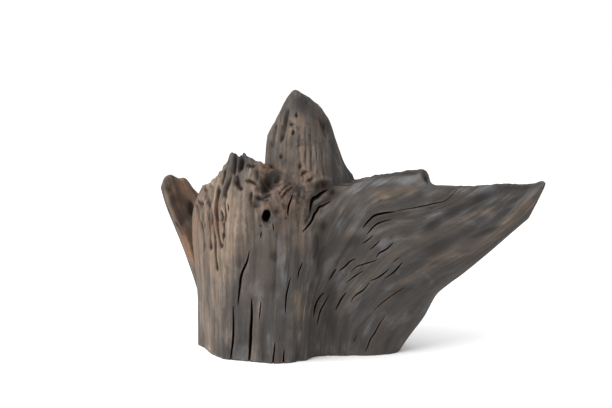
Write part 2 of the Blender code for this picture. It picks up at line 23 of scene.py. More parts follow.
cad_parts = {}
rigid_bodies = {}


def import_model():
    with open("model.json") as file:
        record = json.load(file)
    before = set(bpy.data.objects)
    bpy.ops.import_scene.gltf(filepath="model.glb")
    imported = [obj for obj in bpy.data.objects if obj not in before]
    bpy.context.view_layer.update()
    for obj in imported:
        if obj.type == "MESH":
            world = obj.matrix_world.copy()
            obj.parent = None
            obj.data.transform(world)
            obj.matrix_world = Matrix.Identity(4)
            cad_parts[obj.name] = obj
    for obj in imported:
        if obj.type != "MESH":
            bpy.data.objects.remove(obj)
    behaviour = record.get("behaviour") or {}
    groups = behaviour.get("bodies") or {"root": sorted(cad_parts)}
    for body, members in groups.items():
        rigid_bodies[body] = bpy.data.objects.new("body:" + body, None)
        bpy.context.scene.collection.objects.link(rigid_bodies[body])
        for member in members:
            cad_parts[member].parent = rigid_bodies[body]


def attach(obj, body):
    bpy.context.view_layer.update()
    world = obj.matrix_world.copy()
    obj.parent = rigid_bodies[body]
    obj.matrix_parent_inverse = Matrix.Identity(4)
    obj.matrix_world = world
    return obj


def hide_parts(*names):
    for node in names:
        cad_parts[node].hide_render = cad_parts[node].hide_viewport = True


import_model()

LOG = logging.getLogger("bog_oak")
MM = 0.001
PIECE = "weathered_bog_oak"
NODE = "bog_oak_piece"
SEED = 4127
# Points closer than this, in metres, are one point
MERGE_GAP = 0.000002


class Mark(Enum):
    """The kinds of mark painted on the wood: weathering stains, and on the dark and rust marks also
    painted shade in grooves, pockets, folds and on the banks of checks.
    """

    WARM = "warm"
    PALE = "pale"
    RUST = "rust"
    DARK = "dark"


@dataclass(frozen=True)
class Strand:
    """One strand of the grain, from foot to rim, in millimetres.

    foot and rim are the thickness of the wood behind it, reach is the share of
    its height that the back has, and fluting is how deep its ribs run.
    """

    name: str
    foot: float
    rim: float
    reach: float
    fluting: float
    points: tuple


@dataclass(frozen=True)
class Stroke:
    """A groove, ridge or check along points (x, z) in millimetres.

    A groove has a positive depth and a ridge a negative one.
    """

    name: str
    depth: float
    width: float
    path: tuple


@dataclass(frozen=True)
class Stain:
    """A soft mark along points (x, z) in millimetres."""

    name: str
    strength: float
    width: float
    path: tuple


class Zone(Enum):
    """Where on a limb a layer of relief runs."""

    ALL = "all"
    RIBS = "ribs"
    FLUTES = "flutes"
    KNOTS = "knots"


@dataclass(frozen=True)
class RibLayer:
    """Relief that runs along the grain, in millimetres."""

    height: float
    width: float
    length: float
    sharp: bool
    zone: Zone


@dataclass(frozen=True)
class Limb:
    """One body of the piece, and how finely its skin is laid out.

    nicks are (x, half width, drop) in millimetres along its rim.
    """

    name: str
    strands: tuple
    strokes: tuple
    layers: tuple
    column_pitch: float
    back_pitch: float
    rows: int
    crown_steps: int
    taper: float
    dip: float
    nicks: tuple = ()


STUMP_STRANDS = (
    Strand("wall edge", 24, 22, 0.62, 0.5, (
        (-111, 11, 0), (-111, 9, 32), (-111, 6, 64), (-113, 3, 93),
        (-115, 0, 122), (-115, -2, 147), (-112, -4, 164), (-105, -6, 179))),
    Strand("wall flute", 62, 50, 0.64, 0.55, (
        (-103, -4, 0), (-103, -12, 40), (-102, -19, 75), (-103, -24, 110),
        (-104, -26, 138), (-102, -27, 163), (-95, -25, 192))),
    Strand("wall face", 98, 84, 0.62, 0.55, (
        (-92, -34, 0), (-91, -37, 46), (-91, -40, 85), (-92, -43, 119),
        (-92, -44, 146), (-90, -42, 173), (-82, -34, 206))),
    Strand("low horn", 120, 102, 0.60, 0.5, (
        (-81, -49, 0), (-81, -51, 49), (-80, -53, 88), (-81, -54, 121),
        (-81, -54, 148), (-77, -50, 177), (-70, -36, 223))),
    Strand("horn notch", 130, 108, 0.63, 0.4, (
        (-71, -55, 0), (-69, -58, 51), (-68, -60, 90), (-68, -61, 122),
        (-67, -60, 149), (-65, -55, 181), (-62, -38, 220))),
    Strand("high horn", 136, 110, 0.66, 0.35, (
        (-60, -59, 0), (-57, -62, 52), (-54, -65, 96), (-52, -66, 129),
        (-53, -64, 155), (-54, -56, 186), (-56, -38, 223))),
    Strand("horn slope", 142, 112, 0.72, 0.3, (
        (-48, -64, 0), (-45, -66, 53), (-42, -69, 97), (-40, -69, 129),
        (-41, -66, 161), (-44, -56, 191), (-47, -40, 219))),
    Strand("knot hole", 148, 110, 0.80, 0.35, (
        (-35, -68, 0), (-33, -70, 54), (-29, -71, 97), (-27, -71, 130),
        (-28, -68, 161), (-32, -56, 191), (-37, -42, 215))),
    Strand("knot mass", 150, 96, 0.90, 0.4, (
        (-21, -70, 0), (-19, -71, 54), (-15, -71, 97), (-13, -70, 129),
        (-13, -66, 161), (-16, -56, 186), (-19, -40, 205))),
    Strand("knot side", 148, 86, 0.95, 0.4, (
        (-8, -67, 0), (-6, -70, 54), (-3, -69, 97), (-1, -66, 129), (0, -60, 157),
        (1, -52, 180), (5, -40, 196))),
    Strand("knot shelf", 144, 74, 0.96, 0.35, (
        (-1, -62, 0), (2, -66, 50), (6, -64, 90), (9, -59, 122), (14, -52, 151),
        (23, -47, 173), (36, -36, 187))),
    Strand("lobe root", 140, 48, 0.98, 0.25, (
        (5, -58, 0), (8, -62, 48), (13, -59, 84), (19, -51, 112), (28, -46, 138),
        (38, -45, 159), (50, -41, 177), (66, -33, 190))),
    Strand("lobe crest", 136, 20, 1.0, 0.15, (
        (10, -54, 0), (13, -58, 44), (18, -54, 76), (25, -47, 102), (36, -44, 127),
        (48, -45, 150), (62, -46, 170), (80, -40, 185), (101, -34, 198))),
    Strand("lobe corner", 132, 14, 1.0, 0.15, (
        (14, -50, 0), (17, -54, 40), (22, -50, 70), (30, -44, 94), (41, -42, 116),
        (53, -44, 138), (66, -48, 159), (83, -48, 174), (106, -46, 184), (137, -40, 204))),
    Strand("wing step", 128, 13, 1.0, 0.15, (
        (18, -45, 0), (20, -50, 36), (24, -48, 64), (32, -43, 87), (43, -41, 108),
        (55, -43, 128), (68, -47, 150), (84, -50, 166), (110, -50, 174), (144, -45, 190))),
    Strand("wing ledge", 123, 12, 1.0, 0.15, (
        (22, -41, 0), (23, -47, 32), (27, -46, 58), (36, -42, 81), (47, -40, 101),
        (59, -42, 121), (71, -46, 143), (87, -51, 158), (110, -52, 163), (140, -50, 168),
        (172, -43, 187))),
    Strand("under lobe", 120, 11.5, 1.0, 0.15, (
        (26, -39, 0), (27, -44, 30), (32, -44, 55), (42, -41, 77), (54, -40, 96),
        (66, -42, 115), (78, -46, 136), (95, -50, 151), (122, -51, 159), (152, -49, 167),
        (188, -42, 187))),
    Strand("fan upper", 117, 11, 1.0, 0.2, (
        (31, -38, 0), (32, -43, 29), (38, -42, 53), (49, -41, 74), (62, -41, 92),
        (75, -43, 109), (89, -46, 128), (108, -49, 142), (138, -50, 153), (170, -47, 166),
        (205, -41, 188))),
    Strand("fan middle", 115, 10, 1.0, 0.2, (
        (37, -37, 0), (38, -41, 28), (45, -41, 50), (57, -41, 70), (71, -42, 87),
        (85, -44, 104), (100, -47, 120), (121, -50, 134), (152, -49, 147), (184, -44, 163),
        (222, -38, 189))),
    Strand("fan lower", 113, 9.5, 1.0, 0.2, (
        (45, -37, 0), (47, -40, 27), (55, -41, 47), (68, -42, 65), (83, -43, 81),
        (98, -45, 98), (115, -47, 112), (138, -49, 125), (168, -46, 139), (201, -42, 158),
        (240, -35, 188))),
    Strand("wing streak", 110, 9, 1.0, 0.2, (
        (55, -37, 0), (58, -39, 25), (67, -40, 43), (81, -41, 59), (97, -43, 75),
        (113, -45, 91), (133, -46, 105), (158, -45, 118), (188, -41, 134), (219, -37, 154),
        (254, -32, 188))),
    Strand("wing tip", 102, 7, 1.0, 0.25, (
        (68, -37, 0), (72, -38, 22), (82, -39, 39), (97, -41, 54), (113, -43, 69),
        (130, -43, 84), (151, -41, 98), (177, -37, 112), (205, -32, 129), (234, -29, 152),
        (268, -28, 190))),
    Strand("wing lower", 84, 8, 1.0, 0.25, (
        (86, -36, 0), (92, -37, 20), (103, -38, 36), (117, -39, 51), (133, -38, 67),
        (150, -36, 82), (170, -32, 95), (193, -28, 110), (217, -25, 127), (241, -25, 148),
        (263, -27, 175))),
    Strand("wing edge", 36, 8, 1.0, 0.3, (
        (111, -22, 0), (122, -20, 17), (138, -21, 39), (152, -20, 63), (166, -20, 76),
        (183, -20, 89), (217, -20, 118), (253, -20, 151))),
)

PEAK_STRANDS = (
    Strand("left edge", 22, 8, 1.0, 0.8, (
        (-27, -8, 112), (-31, -14, 169), (-34, -10, 201), (-33, -5, 224), (-31, 0, 240))),
    Strand("left flute", 52, 12, 1.0, 0.8, (
        (-21, -36, 118), (-25, -36, 172), (-27, -28, 206), (-25, -18, 232), (-20, -7, 259))),
    Strand("left face", 70, 14, 1.0, 0.6, (
        (-14, -46, 120), (-17, -44, 174), (-18, -36, 209), (-16, -25, 240), (-12, -9, 275))),
    Strand("apex", 76, 14, 1.0, 0.5, (
        (-5, -48, 120), (-7, -46, 174), (-8, -39, 210), (-7, -27, 246), (-3, -9, 287))),
    Strand("shoulder", 78, 15, 1.0, 0.5, (
        (5, -48, 120), (5, -46, 174), (5, -40, 210), (6, -28, 245), (8, -10, 282))),
    Strand("middle", 76, 15, 1.0, 0.6, (
        (15, -46, 120), (16, -44, 174), (16, -38, 207), (18, -28, 242), (18, -11, 275))),
    Strand("right face", 72, 15, 1.0, 0.7, (
        (25, -42, 119), (27, -40, 173), (27, -34, 202), (27, -25, 234), (26, -11, 268))),
    Strand("right flute", 54, 14, 1.0, 0.8, (
        (36, -36, 118), (38, -34, 170), (38, -28, 197), (37, -20, 224), (35, -10, 254))),
    Strand("right slope", 42, 12, 1.0, 0.8, (
        (47, -28, 116), (48, -26, 164), (47, -22, 188), (45, -15, 209), (42, -7, 235))),
    Strand("right edge", 30, 10, 1.0, 0.7, (
        (57, -16, 114), (57, -15, 156), (56, -12, 174), (54, -8, 190), (51, -3, 209))),
    Strand("right foot", 14, 8, 1.0, 0.6, (
        (68, 4, 110), (66, 2, 149), (65, 2, 163), (63, 2, 175), (62, 2, 192))),
)

PRONG_STRANDS = (
    Strand("outer edge", 14, 6, 1.0, 0.4, (
        (-100, 28, 7), (-110, 27, 50), (-119, 30, 80), (-132, 36, 115),
        (-147, 42, 151), (-154, 46, 174))),
    Strand("outer face", 30, 8, 1.0, 0.4, (
        (-95, 22, 9), (-104, 21, 52), (-113, 24, 83), (-125, 31, 119),
        (-141, 39, 155), (-150, 45, 184))),
    Strand("tip", 36, 9, 1.0, 0.4, (
        (-90, 22, 9), (-98, 23, 51), (-106, 29, 85), (-118, 38, 121),
        (-133, 45, 156), (-143, 47, 187))),
    Strand("hollow", 36, 8, 1.0, 0.4, (
        (-83, 24, 8), (-92, 27, 50), (-99, 35, 83), (-110, 45, 119),
        (-124, 51, 154), (-135, 50, 183))),
    Strand("inner face", 34, 8, 1.0, 0.4, (
        (-76, 28, 7), (-84, 31, 49), (-91, 39, 83), (-101, 48, 118),
        (-114, 52, 151), (-126, 51, 182))),
    Strand("inner edge", 28, 8, 1.0, 0.4, (
        (-69, 36, 5), (-76, 38, 48), (-83, 45, 80), (-93, 51, 114),
        (-104, 54, 143), (-117, 53, 169))),
    Strand("root edge", 14, 7, 1.0, 0.4, (
        (-60, 48, 2), (-68, 50, 45), (-76, 54, 76), (-84, 57, 105),
        (-93, 58, 133), (-105, 57, 159))),
)

# Two marks that cross from the stump's rim on to the peak
SHELF_SLOT = Stroke("slot", 4.5, 1.6, ((12, 194), (18, 197)))
SWIRL_DIP = Stroke("swirl dip", 2.6, 2.0, ((5, 199), (8, 203), (12, 204)))

WALL_STROKES = (
    Stroke("edge line", 1.2, 1.0, ((-113, 159), (-112, 149), (-110, 142))),
    Stroke("outer wall groove", 2.6, 2.4, (
        (-108, 171), (-106, 164), (-105, 156), (-103, 148), (-101, 139), (-100, 129), (-100, 117))),
    Stroke("rim groove", 3.6, 2.4, ((-100, 187), (-99, 176), (-98, 170), (-97, 164))),
    Stroke("deep wall groove", 3.8, 1.9, (
        (-95, 172), (-93, 162), (-92, 156), (-91, 149), (-89, 140), (-87, 130))),
    Stroke("deep groove tail", 3.6, 1.6, ((-87, 133), (-87, 121), (-87, 112), (-85, 96))),
    Stroke("second wall groove", 5.1, 2.5, (
        (-83, 187), (-85, 178), (-86, 171), (-86, 164), (-86, 157), (-85, 148))),
    Stroke("second groove tail", 3.0, 1.6, (
        (-85, 151), (-84, 142), (-83, 136), (-81, 129), (-79, 123))),
    Stroke("ridge side", 3.1, 2.0, ((-77, 206), (-77, 199), (-79, 194), (-80, 188))),
    Stroke("horn groove", 4.3, 2.2, (
        (-69, 210), (-70, 200), (-72, 193), (-74, 188), (-76, 182), (-78, 176))),
    Stroke("between horns left", 5.5, 2.0, ((-64, 222), (-65, 214), (-66, 206), (-67, 200))),
    Stroke("between horns right", 7.2, 2.4, ((-58, 221), (-58, 215), (-59, 210), (-61, 205))),
    Stroke("wall slit", 2.6, 1.5, ((-80, 164), (-78, 157), (-79, 150))),
    Stroke("wall hair left", 2.2, 1.3, ((-78, 141), (-78, 124))),
    Stroke("horn tip notch", 2.9, 2.0, ((-90, 201), (-89, 195), (-90, 190))),
    Stroke("foot flute outer", 1.6, 3.4, ((-96, 61), (-97, 32), (-99, 2))),
    Stroke("foot flute inner", 1.3, 2.6, ((-87, 64), (-88, 32), (-89, 3))),
    Stroke("check bank", 2.0, 5.0, ((-54, 115), (-59, 95), (-63, 77), (-64, 63))),
    Stroke("split bank", 2.0, 5.0, ((-50, 56), (-51, 30), (-53, 2))),
    Stroke("fan groove first", 3.0, 1.7, ((-93, 190), (-92, 180), (-93, 168))),
    Stroke("fan groove second", 3.0, 1.6, ((-104, 170), (-103, 160), (-102, 150), (-99, 139))),
    Stroke("fan groove third", 2.5, 1.6, ((-74, 182), (-76, 172), (-75, 160), (-76, 150))),
    Stroke("rim hair first", 2.4, 1.1, ((-81, 211), (-82, 203), (-83, 195))),
    Stroke("rim hair second", 2.2, 1.1, ((-73, 217), (-74, 209), (-75, 203))),
    Stroke("outer wall flute", 3.2, 1.7, ((-98, 168), (-94, 149), (-93, 130), (-92, 118))),
    Stroke("edge wall flute", 2.5, 1.4, (
        (-110, 165), (-108, 150), (-103, 134), (-101, 121), (-100, 113))),
    Stroke("inner wall flute", 2.8, 1.4, ((-77, 152), (-76.6, 143), (-76.4, 134))),
    Stroke("wall swell", -3, 16, ((-62, 159), (-64, 123), (-71, 78))),
    Stroke("shoulder swell", -2.5, 12, ((-53, 170), (-56, 142), (-57, 127))),
)

KNOT_STROKES = (
    Stroke("horn pocket", 7, 3.0, ((-64, 198), (-63, 192), (-61, 188))),
    Stroke("pocket floor", 5, 2.4, ((-62, 188), (-57, 187))),
    Stroke("pocket side", 3, 2.2, ((-65, 202), (-62, 196))),
    Stroke("knot hollow", 15, 7.0, ((-37, 191), (-31, 194), (-25, 197), (-19, 200))),
    Stroke("hollow left", 9, 5.0, ((-38, 188), (-32, 188), (-26, 190))),
    Stroke("hollow rib", -3, 1.4, ((-23, 201), (-21, 192))),
    Stroke("hollow slot", 4, 1.5, ((-19, 202), (-18, 194))),
    Stroke("fold above", 5, 1.9, ((-43, 180), (-35, 179), (-31, 181), (-26, 184))),
    Stroke("fold below", 3.4, 1.4, ((-42, 178), (-33, 176), (-28, 178))),
    Stroke("fold ridge", -2, 1.6, ((-43, 184), (-35, 183), (-30, 186))),
    Stroke("scoop", 3.4, 4.4, ((-43, 174), (-42, 167))),
    Stroke("scoop rim", 3, 1.4, ((-47, 185), (-48, 177), (-47, 171))),
    Stroke("pale knob", -3.6, 4.5, ((-51, 204), (-47, 203))),
    Stroke("knob above", 2.6, 2.0, ((-54, 212), (-47, 210), (-42, 212))),
    Stroke("knob side", 3, 2.2, ((-42, 208), (-41, 200), (-42, 195))),
    Stroke("knob foot", 2.8, 2.0, ((-54, 196), (-47, 195), (-41, 192))),
    Stroke("rim crease", 2.8, 1.8, ((-37, 211), (-29, 208), (-24, 210))),
    Stroke("rim crease low", 2.6, 1.6, ((-39, 205), (-33, 203), (-26, 204))),
    SHELF_SLOT,
    SWIRL_DIP,
    Stroke("swirl", -2.2, 1.8, ((4, 202), (7, 206))),
    Stroke("fold bank upper", 3.4, 3.0, ((36, 187), (26, 184), (19, 178), (13, 170))),
    Stroke("fold bank lower", 2.6, 2.6, ((39, 176), (30, 171), (22, 168), (14, 156), (9, 149))),
    Stroke("shelf pocket", 6, 3.6, ((23, 184), (27, 189), (36, 190))),
    Stroke("shelf brow", -3.0, 2.6, ((20, 192), (27, 195), (36, 194))),
    Stroke("shelf tongue", -2.2, 2.6, ((28, 186), (35, 187))),
    Stroke("shelf foot pocket", 3.4, 2.8, ((36, 180), (42, 183))),
    Stroke("between folds", -2, 2.4, ((30, 174), (23, 171), (19, 165), (16, 157))),
    Stroke("hole skirt", 5.0, 6, ((-31, 162), (-32, 152))),
    Stroke("hole crumb left", 2.2, 1.4, ((-39, 151), (-37, 148))),
    Stroke("hole crumb middle", 2.2, 1.2, ((-33, 150), (-29, 148))),
    Stroke("hole brow", -2.2, 2.4, ((-37, 168), (-30, 170), (-26, 168))),
    Stroke("hole left lip", -1.8, 2.0, ((-40, 165), (-41, 154))),
    Stroke("rust dip", 2.4, 3.4, ((-25, 165), (-17, 164))),
    Stroke("rust boss", -2.2, 3.6, ((-22, 171), (-14, 173))),
    Stroke("knot fibre first", 2.0, 1.3, ((-19, 182), (-13, 188), (-6, 192))),
    Stroke("knot fibre second", 2.0, 1.3, ((-16, 178), (-11, 185), (-3, 189))),
    Stroke("knot fibre third", -1.8, 1.2, ((-17, 180), (-12, 186), (-5, 190))),
    Stroke("knot dimple", 2.6, 2.6, ((-12, 182), (-11, 184))),
    Stroke("eye lip", -1.8, 2.0, ((-1, 179), (-4, 172), (-5, 163))),
    Stroke("eye foot", 2, 2.6, ((-13, 159), (-9, 156))),
    Stroke("knot boss", -3.4, 10, ((-8, 162), (-1, 168), (7, 179))),
    Stroke("knot lip", -3.0, 5, ((27, 162), (25, 156), (21, 148))),
    Stroke("right dip first", 2.2, 1.4, ((4, 185), (2, 177))),
    Stroke("right dip second", 2.0, 1.4, ((10, 188), (8, 175))),
    Stroke("centre swell", -4, 18, ((-3, 138), (-6, 96), (-10, 37))),
    Stroke("centre seam", 1.4, 1.6, ((-20, 143), (-22, 111), (-24, 70))),
    Stroke("centre seam right", 1.4, 1.8, ((11, 109), (8, 77), (5, 36))),
    Stroke("base flute", 1.6, 2.4, ((-36, 46), (-37, 2))),
    Stroke("base flute right", 1.6, 2.4, ((0, 45), (1, 0))),
)

WING_STROKES = (
    Stroke("valley", 4.6, 4.6, ((30, 152), (28, 128), (26, 98))),
    Stroke("valley lip", -2.2, 4.0, ((20, 144), (19, 124), (18, 106))),
    Stroke("root valley", 3.4, 12, ((27, 81), (32, 42), (39, 2))),
    Stroke("root flute", 1.2, 3, ((51, 50), (58, 6))),
    Stroke("lobe underside", 2.4, 9, ((74, 141), (110, 155), (153, 164), (185, 178))),
    Stroke("lobe roll", -4, 14, ((55, 170), (81, 183), (119, 194))),
    Stroke("lobe crest dip", 1.0, 5, ((81, 186), (108, 192), (132, 194))),
    Stroke("lobe blotch", 1.0, 5, ((86, 177), (93, 171))),
    Stroke("lobe grain first", 0.7, 1.3, ((93, 150), (121, 159), (149, 166))),
    Stroke("lobe grain second", 0.7, 1.3, ((96, 146), (123, 154), (153, 161))),
    Stroke("bump tail", 3.2, 3.0, ((136, 201), (140, 191))),
    Stroke("wing streak hollow", 1.4, 8, ((108, 133), (149, 148), (199, 169))),
    Stroke("wing low hollow", 1.4, 8, ((146, 106), (187, 129), (228, 157))),
    Stroke("wing ridge", -2.0, 8, ((120, 106), (165, 132), (224, 167))),
    Stroke("wing furrow upper", 0.8, 3.5, ((136, 140), (172, 158), (209, 174))),
    Stroke("wing furrow lower", 0.8, 3.2, ((158, 118), (193, 134), (219, 148))),
    Stroke("wing root furrow", 0.7, 3.5, ((81, 64), (111, 90), (143, 110))),
    Stroke("wing root low", 0.7, 3.5, ((104, 35), (132, 65), (164, 95))),
)

PEAK_STROKES = (
    Stroke("outer flute", 4.6, 1.6, ((-9, 269), (-11, 261), (-12, 253), (-14, 242), (-16, 236))),
    Stroke("middle flute", 3.5, 1.3, ((-15, 253), (-16, 244), (-17, 234))),
    Stroke("inner flute", 3.8, 1.4, ((-23, 251), (-24, 243), (-26, 234), (-28, 226))),
    Stroke("left hair", 2.0, 1.2, ((-29, 234), (-30, 226), (-31, 217))),
    Stroke("upper pit", 4.0, 1.4, ((0, 265), (0, 260))),
    Stroke("round pit", 4.0, 2.4, ((-6, 254), (-5, 252))),
    Stroke("lower pit", 4.0, 1.5, ((-3, 248), (-4, 242))),
    Stroke("crown notch", 1.3, 1.8, ((12, 278), (12, 274))),
    Stroke("crown step", 1.0, 2.2, ((4, 280), (9, 279))),
    Stroke("flank flute", 1.8, 1.4, ((24, 259), (28, 248), (32, 237))),
    Stroke("flank dark", 2.2, 1.8, ((29, 255), (31, 245))),
    Stroke("flank tail", 1.6, 1.4, ((35, 237), (40, 222), (47, 204))),
    Stroke("face flute first", 1.4, 1.0, ((9, 249), (10, 230), (10, 210))),
    Stroke("face flute second", 1.4, 1.0, ((15, 243), (16, 224), (15, 203))),
    Stroke("face flute third", 1.4, 1.0, ((20, 236), (22, 219), (23, 201))),
    Stroke("face flute fourth", 1.3, 1.0, ((25, 234), (28, 217), (30, 198))),
    Stroke("face flute fifth", 1.3, 1.0, ((4, 243), (3, 228), (4, 218))),
    Stroke("face pock", 1.0, 1.6, ((6, 237), (7, 228))),
    Stroke("face pock left", 0.8, 1.4, ((3, 233), (3, 229))),
    Stroke("pit", 4, 1.8, ((-17, 221), (-18, 216))),
    Stroke("pit rim", -1.6, 1.2, ((-19, 223), (-15, 223), (-14, 220))),
    Stroke("upright mark", 3, 1.5, ((4, 213), (4, 206))),
    SWIRL_DIP,
    SHELF_SLOT,
    Stroke("shelf pocket", 6.5, 3.4, ((22, 184), (27, 189), (36, 190))),
    Stroke("shelf brow", -2.6, 2.4, ((19, 193), (27, 196), (37, 194))),
    Stroke("shelf foot pocket", 3.4, 2.6, ((36, 181), (43, 184))),
)

PRONG_STROKES = (
    Stroke("cup", 5, 9, ((-138, 168), (-120, 120))),
    Stroke("cup rib", -3, 4, ((-128, 150), (-118, 126))),
    Stroke("cup hollow", 2.5, 3, ((-122, 158), (-117, 140))),
    Stroke("tip dimple", 2.5, 5, ((-146, 176), (-140, 170))),
)

CHECKS = (
    Stroke("long wall check", 13, 2.7, (
        (-50, 123), (-52, 112), (-56, 103), (-59, 94), (-61, 79), (-63, 61))),
    Stroke("foot split left", 10, 2.5, (
        (-68, 61), (-68, 47), (-68, 33), (-69, 19), (-71, 4), (-72, -9))),
    Stroke("foot split main", 15, 3.4, (
        (-48, 71), (-48, 53), (-49, 35), (-50, 16), (-51, 4), (-52, -9))),
    Stroke("short wall check", 7, 1.5, ((-38, 68), (-39, 57), (-40, 47))),
    Stroke("wall pin check", 4, 1.3, ((-73, 172), (-72, 163))),
    Stroke("centre check", 9, 1.9, ((-6, 96), (-9, 84), (-11, 74), (-12, 55))),
    Stroke("foot nick left", 8, 2.1, ((-23, 24), (-24, 13), (-25, 4), (-26, -9))),
    Stroke("foot nick right", 8, 1.9, ((-13, 16), (-14, 9), (-14, 3), (-14, -9))),
    Stroke("fold check", 7, 1.8, ((7, 110), (3, 102), (1, 93))),
    Stroke("paired check left", 10, 2.4, ((30, 72), (24, 66), (20, 58), (18, 46))),
    Stroke("paired check right", 8, 1.9, ((35, 69), (29, 58), (25, 50), (22, 36))),
    Stroke("root check upper", 9, 2.1, ((54, 73), (48, 64), (42, 52))),
    Stroke("root check middle", 7, 1.7, ((79, 84), (72, 75), (63, 68), (58, 61))),
    Stroke("root check long", 6, 1.5, ((117, 78), (110, 74), (102, 68), (92, 60), (83, 51))),
    Stroke("root check low", 6, 1.8, ((96, 46), (90, 36), (85, 26), (80, 18), (75, 4))),
    Stroke("root hair check", 4, 1.2, ((66, 24), (62, 15))),
    Stroke("fan check first", 8, 1.9, ((43, 98), (39, 92), (35, 85))),
    Stroke("fan check second", 9, 2.2, ((64, 109), (58, 106), (52, 100), (45, 95))),
    Stroke("fan check third", 7, 1.6, ((87, 109), (80, 106), (72, 103), (64, 100), (58, 94))),
    Stroke("fan check fourth", 6, 1.6, ((72, 96), (63, 90), (53, 82))),
    Stroke("fan check fifth", 8, 1.8, ((100, 99), (92, 92), (86, 88), (79, 85))),
    Stroke("fan check sixth", 8, 2.0, ((114, 107), (107, 98), (102, 93), (95, 88))),
    Stroke("fan check seventh", 9, 2.1, ((104, 128), (97, 121), (89, 116), (85, 111))),
    Stroke("fan check eighth", 7, 1.7, ((90, 130), (85, 125), (79, 119))),
    Stroke("fan check ninth", 7, 1.6, ((82, 136), (76, 130), (70, 125))),
    Stroke("fan hair check", 4, 1.2, ((112, 112), (107, 109), (103, 105))),
    Stroke("eye check", 9, 2.4, ((-4, 181), (-6, 176), (-8, 171), (-9, 165), (-9, 160))),
    Stroke("knot fold upper", 12, 3.8, (
        (34, 184), (26, 180), (22, 177), (18, 175), (16, 172), (15, 167), (14, 160))),
    Stroke("knot fold lower", 10, 3.0, (
        (37, 172), (29, 168), (24, 166), (22, 163), (19, 159), (16, 152), (12, 147), (6, 141))),
    Stroke("skirt slit", 5, 1.6, ((-37, 144), (-38, 136))),
    Stroke("hole slit", 5, 1.5, ((-25, 153), (-24, 144))),
    Stroke("lobe check", 12, 2.9, ((71, 144), (77, 152), (86, 159), (105, 162))),
    Stroke("lobe seam", 6, 1.3, (
        (106, 163), (131, 167), (145, 170), (159, 173), (167, 180), (172, 185))),
    Stroke("under lobe check", 9, 2.0, ((75, 136), (86, 148), (102, 153))),
)

BACK_CHECKS = (
    Stroke("back foot split", 12, 4, ((-30, 78), (-32, 40), (-31, -8))),
    Stroke("back long check", 11, 3.4, ((20, 120), (14, 80), (12, 48))),
    Stroke("back short check", 8, 2.6, ((-60, 112), (-62, 84))),
    Stroke("back wing check", 8, 2.8, ((92, 128), (74, 100), (62, 70))),
    Stroke("back upper check", 7, 2.4, ((140, 150), (118, 132))),
    Stroke("back root check", 9, 3, ((52, 60), (46, 30), (44, 6))),
)

# Half width, in millimetres, from which a stain also shows at the back
BROAD_STAIN = 15.0

